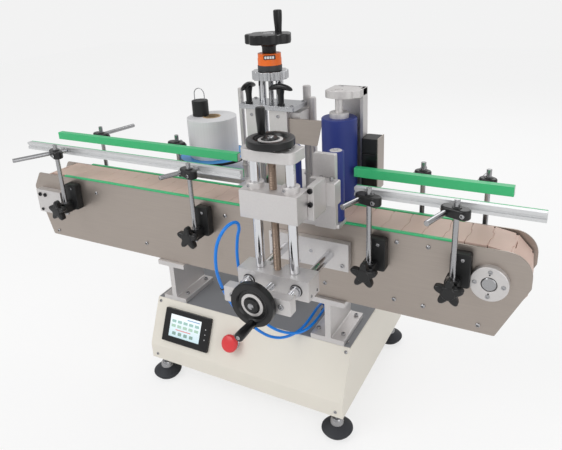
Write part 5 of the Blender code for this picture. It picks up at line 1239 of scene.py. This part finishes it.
# %% Slider, arm, cylinder and carrier
low, high = ends("slider_block")
slide_top = high[2] - 0.011
slide_low = slide_top - 0.051
slide_left, slide_right = PRESS_X - 0.056, PRESS_X + 0.056
front, back = uy - 0.023, uy + 0.023
fit("slider_milled", block((slide_left, front, slide_low), (slide_right, back, slide_top), 0.001, 0.0014),
    milled, "slider_block")
arm_front, arm_back = front + 0.0385, front + 0.09
arm = [(slide_right, arm_front), (slide_right + 0.012, arm_front), (slide_right + 0.012, arm_back),
       (slide_right - 0.014, arm_back), (slide_right - 0.014, arm_back - 0.0115),
       (slide_right, arm_back - 0.0115)]
trim("press_arm",
     slab(rounded(arm, [0.0014] * 5 + [0.003], 3), slide_top - 0.055, slide_top + 0.007, "z", 0.0008),
     milled, "slider_block")
screws = [socket_screw((slide_right + 0.006, arm_front + OFFSET, slide_top - z), "-y", 0.0048, 0.0035)
          for z in (0.001, 0.0255)]
collars = []
for dx in UPRIGHT_RODS:
    collars.append(turned([(0.0092, 0), (0.0155, 0), (0.0155, 0.01), (0.0148, 0.0108), (0.0092, 0.0108)],
                          (PRESS_X + dx, uy, slide_top), "z", 56, hollow=True))
    screws.append(socket_screw((PRESS_X + dx - 0.006, uy - 0.0142, slide_top + 0.0055), "-y", 0.0026, 0.002))
    collars.append(turned([(0.0092, -0.001), (0.0124, -0.001), (0.012, 0.0), (0.0092, 0.0)],
                          (PRESS_X + dx, uy, slide_low), "z", 40, hollow=True))
trim("slider_collars", collars, milled, "slider_block")
trim("slider_screws", screws[:2], dark_steel, "slider_block")
trim("collar_screws", screws[2:], steel, "slider_block")

low, high = ends("press_cylinder")
fit("cylinder_barrel", block(low, high, 0.0012, 0.003, "y"), milled, "press_cylinder")
ports = [turned([(0, 0), (0.0035, 0), (0.0035, 0.005), (0.0028, 0.0075), (0, 0.0075)],
                (low[0] + x, (low[1] + high[1]) / 2, high[2] - OFFSET), "z", 24) for x in (0.012, 0.032)]
trim("cylinder_ports", ports, steel, "press_cylinder")
low, high = ends("press_carrier")
cyl_low, cyl_high = ends("press_cylinder")
carrier_left, carrier_right = cyl_high[0] - 0.012 - 0.043, cyl_high[0] - 0.012
bar_y = cyl_high[1] + 0.003
roller_left, roller_right = middle("press_roller_left"), middle("press_roller_right")
roller_y = roller_left[1]
tall = high[2] if high[2] - low[2] < 0.146 else low[2] + 0.145
carrier = [block((carrier_left, bar_y, low[2]), (carrier_right, bar_y + 0.012, tall), 0.001, 0.003, "y"),
           block((roller_left[0] - 0.015, bar_y + 0.004, low[2]),
                 (roller_right[0] + 0.015, roller_y + 0.015, low[2] + 0.008), 0.0008, 0.006)]
fit("carrier_bar", carrier, milled, "press_carrier")
pins = [rod((middle_of[0], roller_y, low[2] + 0.004), "z", 0.005, high[2] - low[2] - 0.004)
        for middle_of in (roller_left, roller_right)]
pin_z = cyl_high[2] - 0.022
pins += [rod(((cyl_low[0] + cyl_high[0]) / 2 - 0.003 + dx, cyl_high[1] - 0.02, pin_z), "y", 0.004, 0.03)
         for dx in (-0.013, 0.013)]
trim("carrier_pins", pins, chrome, "press_carrier")
for node in ("press_roller_left", "press_roller_right"):
    low, high = ends(node)
    centre = middle(node)
    length = high[2] - low[2]
    cover = [(0.0053, 0), (0.0138, 0), (0.015, 0.0012), (0.015, length - 0.0012), (0.0138, length),
             (0.0053, length)]
    fit(node + "_cover", turned(cover, at_height(centre, low[2]), "z", 48, hollow=True), roller_skin, node)
    disc = [(0.0053, 0), (0.0115, 0), (0.011, 0.0006), (0.0053, 0.0008)]
    trim(node + "_cap", turned(disc, at_height(centre, high[2] - 0.0001), "z", 32, hollow=True), milled, node)
print("press ready")

# %% [markdown]
# The wrap roller spins the bottle against the press rollers. It turns between two arms of a
# milled bracket, with its drive motor beside the upright.

# %% Wrap roller, bracket and motor
low, high = ends("wrap_roller")
centre = middle("wrap_roller")
skin_low = BELT_TOP + 0.008
fit("wrap_roller_cover",
    turned([(0, 0), (0.0345, 0), (0.036, 0.0015), (0.036, 0.1685), (0.0345, 0.17), (0, 0.17)],
           at_height(centre, skin_low), "z", 96), roller_skin, "wrap_roller")
hub = [(0, 0.1695), (0.0196, 0.1695), (0.0196, 0.18), (0.0188, 0.1808), (0.008, 0.181),
       (0.008, high[2] - skin_low), (0, high[2] - skin_low)]
trim("wrap_roller_hub",
     [turned(hub, at_height(centre, skin_low), "z", 64),
      rod(at_height(centre, low[2]), "z", 0.008, skin_low - low[2] + BITE)], milled, "wrap_roller")
low, high = ends("wrap_bracket")
up_right = high[0]
up_y = HOME[1] + 0.105
angle = np.linspace(0, math.pi, 16)
arms = []
for z_low, z_high, reach in ((high[2] - 0.015, high[2], 0.015),
                             (BELT_TOP - 0.0103, BELT_TOP - 0.0003, 0.0075)):
    nose = np.column_stack([centre[0] - 0.029 * np.cos(angle), centre[1] - reach * np.sin(angle)])
    outline = [(up_right, up_y + 0.004), (centre[0] - 0.029, up_y + 0.004), *nose.tolist(),
               (up_right, centre[1] + reach / 2)]
    arms.append(slab(outline, z_low, z_high, "z", 0.0009))
up_left = centre[0] - 0.022
upright = [(up_left, up_y), (up_right - 0.007, up_y), (up_right - 0.007, up_y - 0.018),
           (up_right, up_y - 0.018), (up_right, up_y + 0.008), (up_left, up_y + 0.008)]
arms.append(slab(rounded(upright, 0.0008, 2), low[2], high[2], "z", 0.0008))
arms.append(block((up_left, HOME[1] + PLATE_OUT + 0.0003, low[2]),
                  (up_right - 0.007, up_y + 0.004, low[2] + 0.04), 0.001))
fit("wrap_bracket_milled", arms, milled, "wrap_bracket")
seat = [turned([(0.0082, 0), (0.015, 0), (0.0146, 0.0012), (0.0082, 0.0015)],
               at_height(centre, high[2] - OFFSET), "z", 40, hollow=True)]
screws = [socket_screw((x, up_y - 0.002, high[2] - OFFSET), "z", 0.0034, 0.0008)
          for x in (up_left + 0.012, up_right - 0.012)]
trim("wrap_bracket_seat", seat, milled, "wrap_bracket")
trim("wrap_bracket_screws", screws, steel, "wrap_bracket")
low, high = ends("wrap_motor")
third = (high[2] - low[2]) * 0.72
fit("wrap_motor_case", block(low, (high[0], high[1], low[2] + third), 0.002, 0.004), gloss_black,
    "wrap_motor")
trim("wrap_motor_head", block((low[0], low[1], low[2] + third), high, 0.002, 0.004), black, "wrap_motor")
trim("wrap_motor_guard",
     block((high[0] - 0.0004, low[1] + 0.001, low[2] + 0.002), (high[0] + 0.0016, high[1], high[2] + 0.001),
           0.0003), stainless, "wrap_motor")
ribs = [block((low[0] - OFFSET, low[1] + 0.003 + 0.0055 * i, low[2] + 0.006),
              (high[0] + 0.0008, low[1] + 0.0055 + 0.0055 * i, low[2] + third - 0.004), 0.0004)
        for i in range(6)]
trim("wrap_motor_ribs", ribs, gloss_black, "wrap_motor")
print("wrap roller ready")

# %% [markdown]
# The label head hangs on two polished posts. A crank wheel on top turns the screw between
# them, and an orange counter on the screw shows the height.

# %% Label head: stand, posts, flange and indicator
HEAD = middle("head_wheel")
HEAD_X, HEAD_Y = HEAD[0], HEAD[1]


def on_head(x, y, z):
    """A place on the label head: x from its crank wheel, y from the chain's middle, z from the floor."""
    return HEAD_X + x, HOME[1] + y, z


low, high = ends("head_stand")
stand = [block(low, (high[0], high[1], low[2] + 0.01), 0.001, 0.004),
         block((HEAD_X - 0.048, HEAD_Y - 0.025, low[2] + 0.008), (HEAD_X + 0.048, HEAD_Y + 0.025, high[2]),
               0.001, 0.002)]
fit("head_stand_milled", stand, milled, "head_stand")
screws = [socket_screw((x, y, low[2] + 0.0098), "z", 0.005, 0.005) for x in (low[0] + 0.011, high[0] - 0.011)
          for y in (low[1] + 0.011, high[1] - 0.011)]
trim("head_stand_screws", screws, dark_steel, "head_stand")
low, high = ends("head_posts")
flange_low = high[2] - 0.018
HEAD_RODS, HEAD_ROD_RADIUS = (-0.0215, 0.0215), 0.0084


def lobed(x, y, radius, depth, lobes, count=160, power=3.0):
    """Radius dips by depth between lobes, as a power of (1 - cos(lobes a)) / 2."""
    angle = np.linspace(0, 2 * math.pi, count, endpoint=False)
    reach = radius - depth * (0.5 - 0.5 * np.cos(lobes * angle)) ** power
    return np.column_stack([x + reach * np.cos(angle), y + reach * np.sin(angle)])


fit("head_flange",
    slab(lobed(HEAD_X, HEAD_Y, 0.0395, 0.0042, 12, 240, 2.0), flange_low, high[2], "z", 0.0012, 3),
    turned_steel, "head_posts")
trim("head_rods",
     [rod((HEAD_X + dx, HEAD_Y, low[2]), "z", HEAD_ROD_RADIUS, flange_low - low[2] + BITE)
      for dx in HEAD_RODS], chrome, "head_posts")
low, high = ends("position_indicator")
tall = high[2] - low[2]
body = [(0.0092, 0.0), (0.025, 0.0), (0.0255, 0.0006), (0.0255, tall - 0.011), (0.0248, tall - 0.009),
        (0.0248, tall), (0.0092, tall)]
fit("indicator_case", turned(body, (HEAD_X, HEAD_Y, low[2]), "z", 64, hollow=True), orange,
    "position_indicator")
base = [(0.0094, 0.0), (0.0258, 0.0), (0.0262, 0.0012), (0.0262, 0.0105), (0.0256, 0.0118), (0.0094, 0.0118)]
trim("indicator_base", turned(base, (HEAD_X, HEAD_Y, low[2]), "z", 64, hollow=True),
     plain_look("grey_plastic", (52, 53, 55), 0.45), "position_indicator")
toward = Matrix.Translation((HEAD_X, HEAD_Y, high[2])) @ Matrix.Rotation(math.radians(29.6), 4, "Z")
pane = block((-0.0125, -0.0266, -0.0108), (0.0125, -0.0225, -0.0022), 0.0008).moved(toward)
trim("indicator_window", pane, plain_look("indicator_glass", (36, 38, 42), 0.12), "position_indicator")
slots = [block((-0.0105 + 0.0053 * i, -0.0269, -0.0092), (-0.0063 + 0.0053 * i, -0.0262, -0.004),
               0.0002).moved(toward) for i in range(4)]
trim("indicator_drums", slots, white_plastic, "position_indicator")

low, high = ends("head_wheel")
wheel_low = high[2] - 0.02
fit("head_wheel_rim",
    slab(lobed(HEAD_X, HEAD_Y, 0.05, 0.006, 7, 168, 2.0), wheel_low, high[2], "z", 0.003, 4),
    gloss_black, "head_wheel")
hub = [(0, wheel_low - 0.02), (0.0142, wheel_low - 0.02), (0.0148, wheel_low - 0.019),
       (0.015, wheel_low - 0.008), (0.0175, wheel_low - 0.003), (0.024, wheel_low + 0.001),
       (0, wheel_low + 0.001)]
trim("head_wheel_hub", turned(hub, (HEAD_X, HEAD_Y, 0.0), "z", 48), black, "head_wheel")
trim("head_thread",
     threaded((HEAD_X, HEAD_Y, low[2]), "z", 0.006, wheel_low - 0.019 - low[2], THREAD_PITCH, 0.0008),
     steel, "head_wheel")
trim("head_wheel_cap",
     turned([(0, 0), (0.012, 0), (0.011, 0.001), (0, 0.0014)], (HEAD_X, HEAD_Y, high[2] - 0.0004), "z", 40),
     steel, "head_wheel")
crank_grip("head_crank", "z", "head_crank")
print("head posts ready")

# %% [markdown]
# The carriage is two plates and two columns. On the real machine the label web runs round its
# posts to the thin peel plate, pulled by the blue feed roller. The web itself isn't drawn.

# %% Label head: carriage
low, high = ends("head_carriage")
plate_top_high = ends("clamp_handle_left")[0][2] - 0.0003
plate_top_low = plate_top_high - 0.01
lower_low, lower_high = low[2], low[2] + 0.012
centre_x = HEAD_X + 0.003
top_plate = block((centre_x - 0.067, HOME[1] + 0.06, plate_top_low),
                  (centre_x + 0.067, HOME[1] + 0.13, plate_top_high), 0.001, 0.003)
trim("carriage_top", top_plate, polished, "head_carriage")
plates = []
outline = [(HEAD_X + 0.093, HOME[1] + 0.062), (HEAD_X + 0.093, HOME[1] + 0.25),
           (HEAD_X - 0.262, HOME[1] + 0.25), (HEAD_X - 0.262, HOME[1] + 0.125),
           (HEAD_X - 0.102, HOME[1] + 0.125), (HEAD_X - 0.102, HOME[1] + 0.062)]
plates.append(slab(rounded(outline, [0.004, 0.008, 0.008, 0.008, 0.003, 0.004], 4), lower_low, lower_high,
                   "z", 0.001))
for left, wide in ((-0.052, 0.03), (0.006, 0.044)):
    plates.append(block(on_head(left, 0.068, lower_high - BITE),
                        on_head(left + wide, 0.083, plate_top_low + BITE), 0.0008))
fit("carriage_milled", plates, milled, "head_carriage")
webs = []
for x, y, radius, tall in ((0.059, 0.15, 0.009, 0.236), (0.0785, 0.136, 0.0085, 0.214),
                           (-0.114, 0.15, 0.0065, 0.222)):
    webs.append(rod(on_head(x, y, lower_high - BITE), "z", radius, tall, 0.001, 36))
    webs.append(turned([(0, 0), (radius + 0.003, 0), (radius + 0.003, 0.003), (0, 0.0032)],
                       on_head(x, y, lower_high + 0.03), "z", 36))
webs.append(block(on_head(0.046, 0.083, plate_top_low - 0.036), on_head(0.074, 0.15, plate_top_low - 0.006),
                  0.0008))
trim("web_posts", webs, milled, "head_carriage")
screws = [socket_screw((centre_x + x, HOME[1] + y, plate_top_high - OFFSET), "z", 0.0042, 0.0024)
          for x in (-0.06, 0.06) for y in (0.067, 0.123)]
screws += [socket_screw(on_head(x, 0.0682, z), "-y", 0.0036, 0.002) for x in (-0.037, 0.028)
           for z in (lower_high + 0.012, plate_top_low - 0.014)]
screws += [socket_screw(on_head(x, 0.0832, plate_top_low - 0.027), "-y", 0.0036, 0.003)
           for x in (0.053, 0.063)]
trim("carriage_screws", screws, steel, "head_carriage")

low, high = ends("peel_plate")
face_y = low[1]
sheet_outline = [(low[0], low[2]), (high[0] - 0.013, low[2]), (high[0], high[2]), (low[0], high[2])]
fit("peel_sheet",
    [slab(rounded(sheet_outline, 0.002, 3), face_y, face_y + 0.002, "y", 0.0004),
     block((low[0], face_y + BITE, high[2] - 0.002), (high[0] - 0.001, high[1], high[2]), 0.0004)],
    stainless, "peel_plate")
low, high = ends("feed_roller")
centre = middle("feed_roller")
length = high[2] - low[2] - 0.01
fit("feed_roller_cover",
    turned([(0, 0), (0.0185, 0), (0.02, 0.0012), (0.02, length - 0.0012), (0.0185, length), (0, length)],
           at_height(centre, low[2]), "z", 64), roller_skin, "feed_roller")
trim("feed_roller_spindle", rod(at_height(centre, high[2] - 0.011), "z", 0.006, 0.011), steel, "feed_roller")


def wire(points, radius, flat_normal, sides=12):
    """A circle carried along a flat path; its axes are the plane's normal and that crossed with the run."""
    radius = np.broadcast_to(radius, len(points))[:, None, None]
    points = np.asarray(points, float)
    along = np.gradient(points, axis=0)
    along /= np.linalg.norm(along, axis=1, keepdims=True)
    normal = np.broadcast_to(np.asarray(flat_normal, float), along.shape)
    beside = np.cross(along, normal)
    angle = np.linspace(0, 2 * math.pi, sides, endpoint=False)
    cosine, sine = np.cos(angle)[None, :, None], np.sin(angle)[None, :, None]
    rings = points[:, None] + radius * (cosine * beside[:, None] - sine * normal[:, None])
    return skin(rings)


def clamp_lever(node, along):
    """A tapered stem under a wing whose ends droop as the square of their distance from the middle."""
    low, high = ends(node)
    x, y = middle(node)[:2]
    stem = [(0, 0), (0.008, 0), (0.008, 0.003), (0.0064, 0.0042), (0.0066, 0.02), (0.0092, 0.036),
            (0, 0.0385)]
    share = np.linspace(-1.0, 1.0, 25)
    reach = 0.0285 * share
    droop = high[2] - 0.0035 - 0.0062 * share ** 2
    path = np.column_stack([x + AXES[along][0] * reach, y + AXES[along][1] * reach, droop])
    thick = 0.007 * np.sqrt(np.clip(1.02 - np.abs(share) ** 5, 0, 1)) * (1 - 0.3 * np.abs(share))
    wing = wire(path, thick, np.cross(AXES[along], (0, 0, 1)), 20)
    fit(node + "_grip", [turned(stem, (x, y, low[2]), "z", 36), wing], gloss_black, node)


clamp_lever("clamp_handle_left", "y")
clamp_lever("clamp_handle_right", "x")
print("carriage ready")

# %% [markdown]
# Labels come on a roll of thin paper, so its top shows fine rings round a card core. It
# stands on a blue disc, and a small weight with a lifting loop keeps it down.

# %% Label roll, tray and weight
paper = Look("label_paper", 0.55)
paper_middle = middle("reel_tray")
dx = paper.part(0) - float(paper_middle[0])
dy = paper.part(1) - float(paper_middle[1])
winding = ((dx * dx + dy * dy) ** 0.5 * 5200.0).maths("SINE")
edge = paper.noise(260.0, (1.0, 1.0, 0.02), 2.0)
paper.set(paper.mix(winding * 0.12 + edge * 0.5, tint(214, 214, 216), tint(240, 240, 241)), 0.5 + edge * 0.1,
          winding, 0.0001, 0.15)
low, high = ends("reel_tray")
tray_top = ends("label_reel")[0][2] - 0.0003
centre = middle("reel_tray")
rim = (high[0] - low[0]) / 2
disc = [(0, low[2]), (0.012, low[2]), (0.012, tray_top - 0.008), (rim - 0.006, tray_top - 0.008),
        (rim - 0.0015, tray_top - 0.0045), (rim - 0.0015, tray_top - 0.0005), (rim - 0.005, tray_top),
        (0.012, tray_top), (0.012, high[2] - 0.001), (0.011, high[2]), (0, high[2])]
fit("tray_disc", turned(disc, at_height(centre, 0.0), "z", 96), tray_plastic, "reel_tray")
band = [(rim - 0.002, tray_top - 0.0065), (rim, tray_top - 0.0055), (rim, tray_top - 0.0005),
        (rim - 0.002, tray_top + 0.0006)]
trim("tray_band", turned(band, at_height(centre, 0.0), "z", 96, hollow=True), gloss_black, "reel_tray")
roll_low = ends("label_reel")[0][2]
roll = [(0.0225, 0), (0.0615, 0), (0.062, 0.0005), (0.062, 0.0975), (0.0612, 0.098), (0.0225, 0.098)]
fit("label_roll", turned(roll, at_height(centre, roll_low), "z", 96, hollow=True), paper, "label_reel")
card = coat("card_core", (186, 158, 122), 0.7, 500.0, 0.2)
core = [(0.019, 0), (0.0225, 0), (0.0225, 0.099), (0.019, 0.099)]
trim("roll_core", turned(core, at_height(centre, roll_low), "z", 64, hollow=True), card, "label_reel")
weight_x, weight_low = centre[0] - 0.032, roll_low + 0.098
trim("roll_weight",
     turned([(0, 0), (0.0196, 0), (0.0205, 0.001), (0.0205, 0.038), (0.0196, 0.039), (0, 0.039)],
            (weight_x, centre[1], weight_low), "z", 56), black, "label_reel")
bend = np.linspace(math.pi, 0, 24)
loop = np.column_stack([weight_x + 0.015 * np.cos(bend), np.full(24, centre[1]),
                        weight_low + 0.054 + 0.015 * np.sin(bend)])
loop = np.vstack([[weight_x - 0.015, centre[1], weight_low + 0.036], loop,
                  [weight_x + 0.015, centre[1], weight_low + 0.036]])
trim("weight_loop", wire(loop, 0.0011, (0, 1, 0)), steel, "label_reel")
print("label roll ready")

# %% [markdown]
# Plain light: a pale floor, a soft key from the upper left, a fill from the right, a lamp behind
# and a bright world. The camera sees world and floor as near white, and the floor keeps the shadow.

# %% Floor, lamps and world
def floor_look():
    look = Look("pale_floor", 0.9)
    look.set(look.mix(look.noise(3.0), tint(244, 244, 244), tint(248, 248, 248)))
    glow = look.node("ShaderNodeEmission", {"Color": (1.0, 1.0, 1.0), "Strength": 1.0})
    seen = look.node("ShaderNodeLightPath", output="Is Camera Ray")
    out = next(node for node in look.tree.nodes if node.type == "OUTPUT_MATERIAL")
    mixed = look.node("ShaderNodeMixShader",
                      {0: seen * 0.72, 1: Value(look, look.shader.outputs[0]), 2: glow})
    look.tree.links.new(mixed.socket, out.inputs["Surface"])
    return look


half = 6.0
floor_mesh = bpy.data.meshes.new("floor")
floor_mesh.from_pydata([(-half, -half, 0), (half, -half, 0), (half, half, 0), (-half, half, 0)], [],
                       [(0, 1, 2, 3)])
floor = bpy.data.objects.new("floor", floor_mesh)
bpy.context.scene.collection.objects.link(floor)
floor_mesh.materials.append(floor_look().material)

world = bpy.data.worlds.new("studio")
bpy.context.scene.world = world
world.use_nodes = True
tree = world.node_tree
background = tree.nodes["Background"]
background.inputs["Color"].default_value = (1.0, 1.0, 1.0, 1.0)
path = tree.nodes.new("ShaderNodeLightPath")
strength = tree.nodes.new("ShaderNodeMapRange")
strength.inputs["To Min"].default_value = 0.62
strength.inputs["To Max"].default_value = 0.889
tree.links.new(path.outputs["Is Camera Ray"], strength.inputs["Value"])
tree.links.new(strength.outputs["Result"], background.inputs["Strength"])


def lamp(name, at, target, width, power):
    light = bpy.data.lights.new(name, "AREA")
    light.size = width
    light.energy = power
    thing = bpy.data.objects.new(name, light)
    bpy.context.scene.collection.objects.link(thing)
    thing.location = at
    thing.rotation_euler = (Vector(target) - Vector(at)).to_track_quat("-Z", "Y").to_euler()


heart = (0.0, 0.0, 0.45)
lamp("key", (-1.2, -1.9, 2.3), heart, 1.6, 26.0)
lamp("fill", (2.3, -1.2, 1.4), heart, 1.8, 13.0)
lamp("back", (0.4, 2.2, 2.2), heart, 1.6, 14.0)
bpy.context.scene.view_settings.view_transform = "Standard"
print("lamps", 3)
